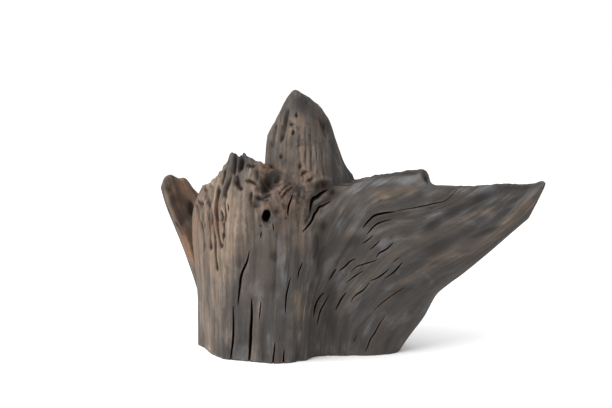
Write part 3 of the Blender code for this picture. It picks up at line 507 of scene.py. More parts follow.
STAINS = {
    Mark.WARM: (
        Stain("left wall", 0.95, 27, ((-90, 186), (-97, 120))),
        Stain("left foot", 0.62, 17, ((-98, 120), (-101, 7))),
        Stain("wall shoulder", 0.75, 16, ((-62, 172), (-66, 128))),
        Stain("wall middle", 0.35, 15, ((-74, 120), (-80, 30))),
        Stain("wall below pocket", 0.8, 9, ((-58, 182), (-53, 161), (-49, 134))),
        Stain("prong", 0.5, 30, ((-130, 190), (-118, 112))),
        Stain("knot mass", 0.45, 26, ((-37, 186), (-7, 161), (4, 133))),
        Stain("peak left", 0.75, 11, ((-22, 260), (-26, 228))),
        Stain("peak face", 0.55, 24, ((2, 244), (16, 206))),
        Stain("centre strip", 0.4, 5, ((-22, 67), (-22, 50))),
        Stain("centre pale strip", 0.35, 7, ((-37, 29), (-42, -1))),
        Stain("centre right strip", 0.35, 6, ((0, 85), (1, 58))),
        Stain("lip of the pair", 0.7, 3.5, ((21, 52), (20, 42))),
        Stain("above the pair", 0.5, 4, ((15, 80), (18, 67))),
        Stain("wing under edge", 0.4, 9, ((144, 90), (199, 121), (242, 156))),
        Stain("wing brown streak", 0.4, 5, ((104, 78), (141, 102), (180, 126))),
        Stain("wing reddish streak", 0.4, 5, ((186, 158), (219, 160))),
        Stain("wing brown patch", 0.45, 7, ((176, 182), (192, 181))),
        Stain("wing tip", 0.5, 11, ((238, 167), (256, 177))),
        Stain("lobe shoulder", 0.5, 10, ((40, 165), (53, 161))),
        Stain("lobe pink streak", 0.45, 6, ((48, 129), (57, 138), (70, 148))),
        Stain("knob warm", 0.9, 9, ((-54, 206), (-44, 202))),
        Stain("lobe pinkish", 0.55, 8, ((74, 174), (105, 182), (137, 185))),
        Stain("wing middle warm", 0.5, 8, ((130, 106), (165, 124), (204, 137))),
        Stain("tip warm", 0.55, 7, ((215, 140), (239, 157), (260, 172))),
        Stain("streak warm", 0.45, 3, ((162, 148), (202, 162), (240, 179))),
        Stain("prong light streak", 0.9, 3, ((-137, 161), (-134, 149))),
        Stain("prong light edge", 0.7, 3, ((-149, 171), (-140, 144))),
        Stain("centre right warm", 0.55, 10, ((4, 85), (7, 35))),
    ),
    Mark.PALE: (
        Stain("lobe light streak", 0.55, 6, ((52, 134), (65, 149), (74, 164))),
        Stain("check light patch", 0.9, 4.4, ((101, 135), (86, 121))),
        Stain("fan light patch", 0.5, 4.5, ((112, 97), (106, 91))),
        Stain("valley light spot", 0.5, 2.5, ((29, 117), (29, 113))),
        Stain("centre light patch", 0.6, 7, ((-10, 119), (-20, 110))),
        Stain("root light streak", 0.4, 3.5, ((80, 33), (75, 23))),
        Stain("eye light spot", 0.6, 2, ((-9, 157), (-8, 156))),
        Stain("knob light", 0.5, 5, ((-52, 205), (-45, 204))),
        Stain("peak fibres light", 0.3, 9, ((16, 238), (27, 206))),
        Stain("wall light ridge", 0.25, 3, ((-52, 110), (-57, 79))),
        Stain("wing long light", 0.5, 5, ((150, 148), (196, 168), (232, 178))),
        Stain("lobe light band", 0.7, 4.5, ((55, 180), (77, 191), (100, 194), (125, 195))),
        Stain("wing light patch", 0.7, 7, ((132, 146), (147, 157), (161, 168))),
        Stain("upper wing light", 0.5, 5, ((170, 177), (191, 182), (218, 187))),
        Stain("tip light", 0.45, 4, ((213, 159), (243, 172), (262, 183))),
        Stain("wing scar", 0.45, 3.4, ((135, 97), (145, 86), (152, 72))),
        Stain("foot pale streak", 0.5, 4, ((82, 39), (75, 25), (71, 14))),
        Stain("peak hair pale first", 0.5, 1.6, ((12, 228), (13, 203))),
        Stain("peak hair pale second", 0.5, 1.6, ((19, 226), (21, 203))),
        Stain("peak hair pale third", 0.35, 1.6, ((6, 245), (5, 230))),
        Stain("upper wing pale", 0.4, 6, ((146, 181), (218, 182))),
        Stain("centre low light", 0.5, 2.2, ((-30, 36), (-31, 8))),
    ),
    # Rust-brown marks; a few noted below are painted shade in brown.
    Mark.RUST: (
        Stain("rust prong", 0.62, 30, ((-134, 190), (-118, 112))),
        Stain("rust peak", 0.3, 30, ((-4, 250), (10, 200))),
        Stain("rust knot", 0.42, 24, ((-30, 196), (-8, 168))),
        Stain("rust under hollow", 0.75, 3, ((-34, 173), (-26, 173))),
        Stain("rust beside hole", 0.7, 4.5, ((-24, 163), (-10, 167))),
        Stain("rust spot", 0.6, 2.2, ((-16, 148), (-15, 147))),
        Stain("rust rim left", 0.6, 3, ((-41, 213), (-36, 206))),
        Stain("rust rim", 0.45, 4.5, ((-45, 212), (-28, 206))),
        Stain("rust shelf", 0.5, 4, ((-26, 204), (-18, 208))),
        Stain("rust peak top", 0.6, 2.6, ((11, 280), (12, 277))),
        Stain("rust peak side", 0.45, 4, ((22, 258), (23, 249))),
        Stain("rust peak left", 0.4, 3, ((-26, 238), (-28, 223))),
        Stain("rust scoop edge", 0.5, 2.4, ((-47, 184), (-48, 176))),
        Stain("rust lobe", 0.6, 3.2, ((76, 178), (83, 179))),
        Stain("rust lobe brown", 0.35, 8, ((43, 167), (54, 156))),
        Stain("rust lobe streak", 0.4, 4, ((54, 135), (58, 139))),
        Stain("rust fan lip", 0.55, 2.4, ((70, 100), (84, 107))),
        Stain("rust fan lip low", 0.4, 2.4, ((83, 86), (96, 95))),
        Stain("rust wing patch", 0.45, 5, ((148, 95), (164, 96))),
        Stain("rust wing streak", 0.35, 3, ((114, 85), (140, 102))),
        Stain("rust centre", 0.4, 3.2, ((-47, 94), (-46, 78))),
        # Painted shade in brown on the bank left of the long wall check.
        Stain("rust wall check", 0.45, 3, ((-54, 125), (-56, 110))),
        Stain("rust fold", 0.35, 4, ((19, 185), (25, 188))),
        Stain("rust swirl", 0.4, 3, ((4, 199), (9, 204))),
        Stain("lobe spot", 0.6, 3, ((81, 183), (91, 184))),
        Stain("left of lobe check", 0.4, 4.5, ((49, 130), (59, 139), (68, 148))),
        Stain("root brown", 0.35, 7, ((38, 164), (49, 170), (59, 173))),
        Stain("eye glow", 0.9, 2.2, ((-8, 170), (-9, 163))),
        # Brown in the wall's flutes: dirt and painted shade.
        Stain("wall flute brown", 0.5, 5, ((-84, 179), (-85, 158), (-83, 137))),
        Stain("peak foot rust", 0.7, 2.5, ((-28, 228), (-29, 219))),
        Stain("peak fleck rust", 0.5, 3, ((19, 257), (21, 250))),
        # Brown in the wall's flutes: dirt and painted shade.
        Stain("flute brown outer", 0.55, 2.4, ((-98, 166), (-94, 149), (-93, 130), (-92, 118))),
        Stain("flute brown middle", 0.55, 2.4, ((-92, 167), (-89, 152), (-87, 140), (-87, 120))),
        Stain("flute brown inner", 0.5, 3, ((-83, 184), (-84, 163), (-83, 134))),
        Stain("flute brown upper", 0.55, 3.4, ((-72, 211), (-75, 193), (-78, 177))),
        # Brown down the foot's flutes, dirt and painted shade, and on the banks of the foot splits,
        # painted shade.
        Stain("wall low brown first", 0.3, 2.6, ((-98, 115), (-99, 71))),
        Stain("wall low brown second", 0.35, 1.8, ((-96, 30), (-97, 8))),
        Stain("wall low brown third", 0.35, 1.8, ((-89, 30), (-90, 8))),
        Stain("split brown", 0.5, 2.4, ((-72, 34), (-73, 9))),
        Stain("split brown right", 0.5, 2.4, ((-53, 36), (-53, 7))),
        Stain("centre brown spot", 0.4, 3, ((1, 76), (1, 61))),
        Stain("centre brown strip", 0.35, 3, ((-47, 102), (-49, 69))),
        Stain("below eye rust", 0.5, 3.4, ((-17, 154), (-11, 144))),
        Stain("knot edge rust", 0.4, 3, ((-45, 161), (-41, 147))),
    ),
    # Dark marks. Painted shade: those named shade, and those in the knot's hole, scoop, fold and horn
    # pocket, under the shelf, along the root's trough, in the valley and in the peak's pits. Dirt and
    # painted shade: the stripes in the flutes.
    Mark.DARK: (
        # Painted shade round the knot hole and in the scoop, fold and horn pocket, and painted shadow
        # under the shelf.
        Stain("hole stain", 0.8, 5, ((-32, 170), (-32, 148))),
        Stain("scoop stain", 0.65, 4.5, ((-43, 180), (-42, 167))),
        Stain("fold stain", 0.6, 3.5, ((-43, 180), (-34, 177), (-26, 181))),
        Stain("pocket stain", 0.8, 3.2, ((-63, 194), (-62, 188))),
        Stain("shelf stain", 0.7, 5.5, ((25, 186), (36, 190))),
        Stain("shelf foot stain", 0.6, 4.5, ((37, 177), (41, 183))),
        Stain("lobe dark spot", 0.6, 5, ((88, 175), (90, 172))),
        Stain("wing low stain", 0.5, 4.5, ((193, 134), (219, 145))),
        Stain("wing mid stain", 0.4, 5, ((124, 110), (137, 112), (160, 123))),
        Stain("wing under stain", 0.5, 5, ((130, 82), (114, 74), (99, 66))),
        Stain("lobe check stain", 0.5, 6, ((52, 120), (63, 129), (73, 137))),
        Stain("lobe centre stain", 0.45, 7, ((52, 146), (61, 157))),
        # Painted shade along the root's trough.
        Stain("root stain", 0.75, 8, ((39, 94), (34, 51), (40, 15))),
        Stain("centre stain", 0.6, 8, ((-28, 92), (-28, 74))),
        Stain("centre upper stain", 0.6, 5, ((-25, 124), (-24, 111))),
        Stain("foot stain", 0.4, 6, ((-20, 26), (-7, 4))),
        Stain("foot mid stain", 0.35, 6, ((-60, 33), (-61, 8))),
        # Painted shade in the peak's pits and in the upright groove.
        Stain("peak pit stain", 0.6, 3.5, ((-6, 255), (-4, 249))),
        Stain("upright stain", 0.6, 2.2, ((3, 216), (4, 208))),
        Stain("prong top stain", 0.55, 6, ((-139, 192), (-135, 181))),
        Stain("prong hollow stain", 0.3, 4, ((-125, 169), (-124, 151))),
        Stain("lobe crest shade", 0.9, 3, ((74, 197), (95, 200), (116, 202), (132, 204))),
        Stain("bump shade", 1, 4, ((130, 204), (136, 203), (139, 194))),
        Stain("upper wing wedge", 0.3, 5, ((138, 189), (157, 188), (171, 184))),
        Stain("diagonal shade", 0.75, 7, ((132, 139), (153, 153), (175, 165), (196, 175), (220, 185))),
        Stain("lower diagonal shade", 0.5, 6, ((116, 127), (143, 123), (171, 130))),
        Stain("tip shade", 0.55, 4, ((218, 185), (238, 186), (253, 186))),
        Stain("low streak shade", 0.5, 3, ((186, 132), (206, 138), (226, 144))),
        Stain("hollow shade left", 1, 6.5, ((-42, 186), (-34, 188), (-27, 190))),
        Stain("hollow shade middle", 1, 6.5, ((-34, 192), (-28, 195), (-22, 198))),
        Stain("hollow shade right", 1, 6, ((-26, 194), (-21, 199), (-17, 203))),
        Stain("fold shade upper", 0.9, 3.4, ((39, 186), (29, 184), (21, 180), (13, 170))),
        Stain("fold shade lower", 0.7, 3.2, ((40, 174), (30, 172), (24, 169), (19, 161))),
        Stain("peak crown shade", 0.65, 14, ((-5, 282), (8, 274), (21, 261))),
        Stain("peak side shade", 0.55, 6, ((27, 261), (36, 243), (45, 221))),
        # Darkening along the horns' and the wall's flutes: dirt and painted shade.
        Stain("horn flute inner", 0.5, 2.4, ((-63, 219), (-64, 214), (-65, 208), (-67, 203))),
        Stain("horn flute side", 0.6, 2.2, ((-58, 217), (-57, 213), (-61, 207), (-62, 202))),
        Stain("horn flute outer", 0.4, 2.6, ((-73, 208), (-75, 196), (-77, 185), (-79, 177))),
        Stain("wall flute first", 0.45, 2.6, (
            (-82, 192), (-84, 182), (-86, 171), (-86, 158), (-84, 146))),
        Stain("wall flute second", 0.4, 2.4, ((-93, 185), (-95, 173), (-93, 162), (-90, 152))),
        Stain("wall flute third", 0.4, 3, ((-99, 178), (-100, 175), (-98, 172))),
        Stain("wall flute fourth", 0.35, 1.8, ((-107, 167), (-106, 162), (-104, 151), (-103, 140))),
        Stain("fold upper shade", 0.95, 7, ((13, 188), (25, 188), (37, 184))),
        Stain("slots right shade", 0.9, 5, ((32, 175), (40, 179), (49, 181))),
        Stain("hole foot shade", 0.9, 3, ((-36, 153), (-26, 154))),
        Stain("grey below hollow", 0.75, 7, ((-46, 176), (-43, 168))),
        # Darkening in the peak's flutes: dirt and painted shade.
        Stain("peak flute upper", 0.9, 1.8, ((-10, 267), (-13, 255), (-14, 245), (-13, 239))),
        Stain("peak flute middle", 0.9, 1.8, ((-16, 241), (-17, 233), (-18, 231))),
        Stain("peak flute outer", 0.8, 1.8, ((-24, 246), (-25, 236), (-27, 225), (-28, 219))),
        Stain("peak mottle upper", 0.7, 4, ((16, 262), (23, 256))),
        Stain("peak mottle side", 0.7, 4, ((26, 257), (32, 244))),
        Stain("peak mottle middle", 0.6, 4, ((8, 238), (12, 226))),
        Stain("peak hair dark first", 0.6, 1.2, ((15, 230), (16, 203))),
        Stain("peak hair dark second", 0.5, 1.2, ((24, 226), (26, 202))),
        Stain("peak hair dark third", 0.5, 1.2, ((9, 226), (8, 211))),
        Stain("prong dark stripe", 0.4, 3, ((-129, 162), (-124, 150), (-122, 139))),
        Stain("prong slit shade", 0.8, 1.6, ((-138, 137), (-127, 120))),
        # Painted shade down the valley between the knot and the wing.
        Stain("valley stain", 0.95, 3.4, ((21, 142), (20, 126), (19, 108))),
        Stain("wing low shade", 0.27, 30, ((111, 75), (133, 92))),
        Stain("fan low shade", 0.27, 24, ((52, 41), (85, 30))),
        Stain("wing middle shade", 0.36, 16, ((148, 127), (192, 131))),
        Stain("lobe low shade", 0.27, 16, ((45, 128), (62, 128))),
        Stain("centre shade", 0.28, 16, ((-34, 122), (-26, 102))),
        Stain("knot shade", 0.26, 15, ((-16, 168), (-16, 150))),
        Stain("peak left shade", 0.4, 6, ((-25, 238), (-22, 222))),
        Stain("centre low dark", 0.55, 2.5, ((-38, 39), (-38, 9))),
    ),
}

GRAIN_LAYERS = (
    RibLayer(0.9, 11.0, 120.0, False, Zone.RIBS),
    RibLayer(1.4, 34.0, 90.0, False, Zone.ALL),
)

STUMP_LAYERS = GRAIN_LAYERS + (
    RibLayer(1.9, 7.0, 70.0, True, Zone.FLUTES),
    RibLayer(0.6, 3.6, 42.0, True, Zone.FLUTES),
    RibLayer(0.22, 2.6, 30.0, False, Zone.ALL),
    RibLayer(0.4, 13.0, 20.0, False, Zone.ALL),
    RibLayer(2.6, 7.0, 8.0, True, Zone.KNOTS),
    RibLayer(1.5, 3.4, 4.0, True, Zone.KNOTS),
)

PEAK_LAYERS = GRAIN_LAYERS + (
    RibLayer(1.0, 5.5, 60.0, True, Zone.FLUTES),
    RibLayer(0.8, 2.6, 34.0, True, Zone.FLUTES),
    RibLayer(0.5, 12.0, 18.0, False, Zone.ALL),
    RibLayer(2.0, 6.0, 7.0, True, Zone.KNOTS),
)

PRONG_LAYERS = GRAIN_LAYERS + (
    RibLayer(0.8, 6.0, 26.0, True, Zone.FLUTES),
    RibLayer(0.8, 10.0, 14.0, False, Zone.ALL),
)

STUMP_NICKS = (
    (-64.6, 1.8, -1.0), (-74.6, 2.8, 5.0), (-57.6, 1.4, -1.2),
    (-80.0, 2.4, 3.0), (-86.0, 2.0, 2.6), (-92.6, 3.2, 2.4), (-101.0, 3.2, 3.0),
    (-43.0, 3.0, 1.2), (-30.0, 3.0, -1.2), (134.5, 3.0, -1.4), (222.0, 4.0, -1.4),
    (228.0, 1.8, 1.2),
)

PEAK_NICKS = (
    (-3.6, 3.0, 2.0), (-9.5, 3.0, 2.4), (1.2, 2.4, 2.0), (11.0, 2.0, 1.0), (23.0, 2.2, 1.2),
)


def smooth_step(low: float, high: float, value: np.ndarray) -> np.ndarray:
    """Ease from 0 at low to 1 at high.

    Args:
        low: Where the rise begins.
        high: Where it ends.
        value: The values to ease.

    Returns:
        The eased shares, from 0 to 1.
    """
    share = np.clip((value - low) / (high - low), 0, 1)
    return share * share * (3 - 2 * share)


def spline(knots: np.ndarray, samples: np.ndarray, closed: bool = False) -> np.ndarray:
    """Read a Catmull-Rom curve through knots.

    Args:
        knots: The knots, along the first axis.
        samples: Where to read, counted in knots.
        closed: Whether the last knot joins the first.

    Returns:
        The curve's values at the samples.
    """
    knots = np.asarray(knots, dtype=float)
    samples = np.asarray(samples, dtype=float)
    count = len(knots)
    start = np.floor(samples).astype(int)
    if not closed:
        start = np.clip(start, 0, count - 2)
    step = (samples - start)[:, None]
    picked = []
    for shift in (-1, 0, 1, 2):
        index = start + shift
        index = index % count if closed else np.clip(index, 0, count - 1)
        picked.append(knots[index].reshape(len(samples), -1))
    before, here, after, beyond = picked
    flat = 0.5 * (2 * here + (after - before) * step
                  + (2 * before - 5 * here + 4 * after - beyond) * step ** 2
                  + (3 * here - before - 3 * after + beyond) * step ** 3)
    return flat.reshape((len(samples),) + knots.shape[1:])


def value_noise(rng: random.Random, across: np.ndarray, along: np.ndarray) -> np.ndarray:
    """Smooth noise between -1 and 1 on a seeded lattice.

    Args:
        rng: The seeded draw that fills the lattice.
        across: Places across the grain, in cells.
        along: Places along the grain, in cells.

    Returns:
        The noise at each place.
    """
    size = 64
    lattice = np.array([[rng.uniform(-1, 1) for _ in range(size)] for _ in range(size)])
    column = np.floor(across).astype(int)
    row = np.floor(along).astype(int)
    blend_x = smooth_step(0, 1, across - column)
    blend_y = smooth_step(0, 1, along - row)
    near = lattice[column % size, row % size] * (1 - blend_x)
    near += lattice[(column + 1) % size, row % size] * blend_x
    far = lattice[column % size, (row + 1) % size] * (1 - blend_x)
    far += lattice[(column + 1) % size, (row + 1) % size] * blend_x
    return near * (1 - blend_y) + far * blend_y


# How a soft stroke thins out: its reach in half widths, and the slow swing along it
STROKE_MARGIN = 3.0
TAPER_REACH = 2.2
TAPER_START = -0.6
TAPER_NARROWEST = 0.5
SWING_LENGTH = 4.5 * MM
SWING = 0.16


def stroke_weight(flat: np.ndarray, width: float, path: tuple, tapered: bool) -> np.ndarray:
    """How strongly a soft stroke acts at each point.

    Args:
        flat: Points (x, z) in metres, along the last axis.
        width: The stroke's half width, in millimetres.
        path: The stroke's points (x, z), in millimetres.
        tapered: Whether it fades and narrows towards its ends.

    Returns:
        Weights from 0 to 1.
    """
    shape = flat.shape[:-1]
    flat = flat.reshape(-1, 2)
    line = np.array(path, dtype=float) * MM
    margin = STROKE_MARGIN * width * MM
    near = np.all((flat > line.min(axis=0) - margin) & (flat < line.max(axis=0) + margin), axis=1)
    best = np.zeros(len(flat))
    spots = flat[near]
    found = np.zeros(len(spots))
    lengths = np.linalg.norm(np.diff(line, axis=0), axis=1)
    total = lengths.sum()
    reach = min(0.5 * total, TAPER_REACH * width * MM)
    done = 0.0
    for start, end, length in zip(line[:-1], line[1:], lengths):
        along = np.clip(((spots - start) @ (end - start)) / length ** 2, 0, 1)
        nearest = start + along[:, None] * (end - start)
        distance = np.linalg.norm(spots - nearest, axis=1)
        fade = np.ones(len(spots))
        narrow = fade
        if tapered:
            place = done + along * length
            fade = smooth_step(TAPER_START * reach, reach, np.minimum(place, total - place))
            narrow = TAPER_NARROWEST + (1 - TAPER_NARROWEST) * fade
            swing = np.sin(place / SWING_LENGTH + line[0, 0] / SWING_LENGTH)
            fade = fade * (1 - SWING + SWING * swing)
        found = np.maximum(found, fade * np.exp(-(distance / (width * MM * narrow)) ** 2))
        done += length
    best[near] = found
    return best.reshape(shape)


def resample(points: np.ndarray, count: int) -> np.ndarray:
    """Spread a row of points evenly over another count.

    Args:
        points: The row of points.
        count: How many points are wanted.

    Returns:
        The new row.
    """
    wanted = np.linspace(0, 1, count)
    given = np.linspace(0, 1, len(points))
    return np.stack([np.interp(wanted, given, points[:, axis]) for axis in range(3)], axis=1)


@dataclass
class Skin:
    """A closed surface with what is known at each of its points."""

    points: np.ndarray
    faces: list
    place: np.ndarray
    tree: BVHTree = field(init=False)

    def __post_init__(self) -> None:
        """Index the surface for nearest-point reading."""
        self.tree = BVHTree.FromPolygons(self.points.tolist(), self.faces)


@dataclass
class LimbBuilder:
    """Builds the fine skin of one limb from its strands.

    A fray is (strength, width, length) of one layer of rough noise, in
    millimetres. wander bends the ribs sideways by so many millimetres.
    """

    limb: Limb
    rng: random.Random
    offset: float
    rim_bulge: float = 1.0 * MM
    crown_shoulder: float = 0.8
    thin_share: float = 0.2
    full_stock: float = 45 * MM
    back_gain: float = 1.4
    crown_rough: float = 2.2 * MM
    rim_rough: float = 1.7 * MM
    rim_reach: float = 9.0 * MM
    rim_thinnest: float = 0.15
    rim_rise: float = -0.3
    rim_frays: tuple = ((1.0, 5.0, 60.0), (0.6, 2.4, 60.0))
    crown_frays: tuple = ((1.0, 7.0, 7.0), (0.6, 3.4, 3.4))
    crown_open: float = 60 * MM
    crown_width: float = 40 * MM
    crown_thinnest: float = 0.12
    nick_reach: float = 16.0 * MM
    strand_steps: int = 120
    back_fluting: float = 0.8
    front_gain: float = 2.5
    wander: float = 2.2
    wander_size: tuple = (15.0, 45.0)
    stroke_wander: float = 0.35
    rib_power: float = 0.8
    rib_middle: float = 0.42
    flute_rise: tuple = (20 * MM, 150 * MM)
    flute_low: float = 0.35
    flute_at_knots: float = 0.5
    knots_at: tuple = (-10 * MM, 188 * MM)
    knots_reach: tuple = (30 * MM, 24 * MM)

    def key_lines(self) -> tuple:
        """Lay out every strand round the limb, front then back.

        Returns:
            The lines, the thickness and the fluting at each key line.
        """
        limb = self.limb
        height = np.linspace(0, 1, limb.rows)
        front = []
        back = []
        stock = []
        fluting = []
        for strand in limb.strands:
            points = np.array(strand.points, dtype=float) * MM
            front.append(self.even_rows(points, 1.0))
            line = self.even_rows(points, strand.reach)
            thickness = strand.rim + (strand.foot - strand.rim) * (1 - height) ** limb.taper
            line[:, 1] += thickness * MM
            back.append(line)
            stock.append(thickness * MM)
            fluting.append(np.full(limb.rows, strand.fluting))
        lines = np.array(front + back[::-1])
        behind = [np.full(limb.rows, self.back_fluting)] * len(back)
        return lines, np.array(stock + stock[::-1]), np.array(fluting + behind)

    def even_rows(self, points: np.ndarray, reach: float) -> np.ndarray:
        """Space points evenly along a strand.

        Args:
            points: The strand's points, in metres.
            reach: The share of its length to cover.

        Returns:
            One point for each row.
        """
        fine = spline(points, np.linspace(0, len(points) - 1, self.strand_steps))
        run = np.concatenate(([0], np.cumsum(np.linalg.norm(np.diff(fine, axis=0), axis=1))))
        wanted = np.linspace(0, run[-1] * reach, self.limb.rows)
        return np.stack([np.interp(wanted, run, fine[:, axis]) for axis in range(3)], axis=1)

    def ring_samples(self, lines: np.ndarray) -> tuple:
        """Choose where the columns stand round the limb.

        Args:
            lines: The key lines.

        Returns:
            The samples counted in key lines, and the front and back counts.
        """
        keys = len(self.limb.strands)
        widths = np.linalg.norm(np.roll(lines, -1, axis=0) - lines, axis=2)
        widths = 0.5 * (widths.mean(axis=1) + widths.max(axis=1)) / MM
        samples = []
        counts = []
        for gap in range(2 * keys):
            if gap in (keys - 1, 2 * keys - 1):
                steps = self.limb.crown_steps
            else:
                pitch = self.limb.column_pitch if gap < keys else self.limb.back_pitch
                steps = max(2, round(widths[gap] / pitch))
            counts.append(steps)
            samples += [gap + step / steps for step in range(steps)]
        front = sum(counts[:keys - 1]) + 1
        back = sum(counts[keys:2 * keys - 1]) + 1
        return np.array(samples), front, back

    def normals(self, grid: np.ndarray) -> np.ndarray:
        """Outward unit normals of the ring grid."""
        around = np.roll(grid, -1, axis=0) - np.roll(grid, 1, axis=0)
        normals = np.cross(around, np.gradient(grid, axis=1))
        return normals / np.maximum(np.linalg.norm(normals, axis=2, keepdims=True), 1e-12)

    def fray(self, across: np.ndarray, along: np.ndarray, layers: tuple) -> np.ndarray:
        """Add up layers of rough noise.

        Args:
            across: Places across the grain, in millimetres.
            along: Places along the grain, in millimetres.
            layers: The strength, width and length of each layer.

        Returns:
            The noise at each place.
        """
        rough = np.zeros(across.shape)
        for strength, width, length in layers:
            rough += strength * value_noise(self.rng, across / width, along / length)
        return rough

    def relief(self, grid: np.ndarray, stock: np.ndarray, fluting: np.ndarray) -> tuple:
        """Push the skin in and out: the listed strokes, then ribs all round.

        Args:
            grid: The smooth ring grid.
            stock: The thickness of wood behind each point.
            fluting: The depth of the ribs at each point.

        Returns:
            The moved grid, and the places around and along the grain.
        """
        normals = self.normals(grid)
        facing = np.clip(-normals[..., 1] * self.front_gain, 0, 1)
        widths = np.linalg.norm(grid - np.roll(grid, 1, axis=0), axis=2).mean(axis=1)
        heights = np.linalg.norm(np.diff(grid, axis=1), axis=2)
        around = np.cumsum(widths)[:, None] / MM * np.ones(grid.shape[:2])
        along = np.concatenate((np.zeros((len(grid), 1)), np.cumsum(heights, axis=1)), axis=1) / MM
        flat = grid[..., [0, 2]]
        wander = self.fray(around, along, ((self.wander, *self.wander_size),))
        flat = flat + (self.stroke_wander * wander * MM)[..., None]
        push = np.zeros(grid.shape[:2])
        for stroke in self.limb.strokes:
            push -= stroke.depth * MM * facing * stroke_weight(flat, stroke.width, stroke.path, True)
        zones = self.zones(grid, normals, fluting)
        ribs = np.zeros(grid.shape[:2])
        for layer in self.limb.layers:
            noise = value_noise(self.rng, (around + wander) / layer.width, along / layer.length)
            if layer.sharp:
                noise = np.abs(noise) ** self.rib_power - self.rib_middle
            ribs += layer.height * MM * noise * zones[layer.zone]
        push += ribs * np.clip(stock / self.full_stock, self.thin_share, 1)
        moved = grid + normals * push[..., None]
        moved[:, 0, 2] = grid[:, 0, 2]
        below = along[:, -1:] - along
        ragged = self.fray(around, along, self.rim_frays)
        ragged *= 1 - smooth_step(0.0, self.rim_reach / MM, below)
        thick = np.clip(stock / self.full_stock, self.rim_thinnest, 1)
        moved[..., 2] -= self.rim_rough * thick * np.maximum(ragged, self.rim_rise)
        upper = 1 - smooth_step(0.0, self.nick_reach / MM, below)
        for place, half, drop in self.limb.nicks:
            share = np.exp(-((grid[..., 0] / MM - place) / half) ** 2)
            moved[..., 2] -= drop * MM * share * upper * facing
        return moved, around, along

    def zones(self, grid: np.ndarray, normals: np.ndarray, fluting: np.ndarray) -> dict:
        """Where each kind of relief runs.

        Args:
            grid: The smooth ring grid.
            normals: Its normals.
            fluting: The strands' fluting at each point.

        Returns:
            A weight array for each zone.
        """
        behind = np.clip(normals[..., 1], 0, 1)
        rise = smooth_step(*self.flute_rise, grid[..., 2])
        away = [(grid[..., axis] - middle) / reach
                for axis, middle, reach in zip((0, 2), self.knots_at, self.knots_reach)]
        knots = np.exp(-away[0] ** 2 - away[1] ** 2)
        return {
            Zone.ALL: np.ones(grid.shape[:2]),
            Zone.RIBS: 1.0 + self.back_gain * behind,
            Zone.FLUTES: fluting * (
                self.flute_low + (1 - self.flute_low) * rise) * (1 - self.flute_at_knots * knots),
            Zone.KNOTS: knots * (1 - behind),
        }

    def crown(self, ring: np.ndarray, front: int, back: int) -> list:
        """Close the top with rows of points from the front rim to the back rim.

        Args:
            ring: The moved ring grid.
            front: How many columns the front has.
            back: How many columns the back has.

        Returns:
            The rows, each as wide as the front.
        """
        steps = self.limb.crown_steps
        start = front + steps - 1
        rim = ring[:, -1]
        near = rim[:front]
        far = rim[start:start + back][::-1]
        matched = resample(far, front)
        rise = ring[:front, -1] - ring[:front, -2]
        rise /= np.linalg.norm(rise, axis=1, keepdims=True)
        drop = near[:, 2] - matched[:, 2]
        open_top = np.clip(drop / self.crown_open, 0, 1)
        rows = []
        for step in range(1, steps):
            share = step / steps
            swell = math.sin(math.pi * share)
            row = near + (matched - near) * share
            row[:, 2] = matched[:, 2] + drop * (1 - smooth_step(0.0, self.crown_shoulder, share))
            row[:, 2] -= self.limb.dip * MM * open_top * swell
            row += rise * (self.rim_bulge * swell * (1 - open_top))[:, None]
            rows.append(row)
        rows = np.array(rows)
        width = np.linalg.norm(matched - near, axis=1)
        rough = self.crown_rough * np.clip(width / self.crown_width, self.crown_thinnest, 1)
        flat = rows[..., :2] / MM
        fray = self.fray(flat[..., 0], flat[..., 1], self.crown_frays)
        ends = np.sin(np.linspace(0, math.pi, steps + 1))[1:-1, None] ** 0.5
        rows[..., 2] += fray * rough * ends
        return list(rows)

    def build(self) -> Skin:
        """Lay out, carve and close the limb's skin.

        Returns:
            The closed skin.
        """
        lines, stock, fluting = self.key_lines()
        samples, front, back = self.ring_samples(lines)
        ring = spline(lines, samples, closed=True)
        ring, around, along = self.relief(
            ring, spline(stock, samples, closed=True), spline(fluting, samples, closed=True))
        rows = self.crown(ring, front, back)
        steps = self.limb.crown_steps
        start = front + steps - 1
        columns = len(ring)
        height = self.limb.rows

        turn = around[:, 0] / around[-1, 0] * 2 * math.pi
        radius = around[-1, 0] * MM / (2 * math.pi)
        circle = np.stack((radius * np.cos(turn), radius * np.sin(turn)), axis=1)
        place = np.empty(ring.shape)
        place[..., :2] = circle[:, None, :]
        place[..., 2] = along * MM
        points = [ring.reshape(-1, 3)]
        places = [place.reshape(-1, 3)]
        index = np.arange(columns * height).reshape(columns, height)
        faces = []
        for column in range(columns):
            left = index[column]
            right = index[(column + 1) % columns]
            faces += np.stack((left[:-1], right[:-1], right[1:], left[1:]), axis=1).tolist()
        faces.append(index[::-1, 0].tolist())

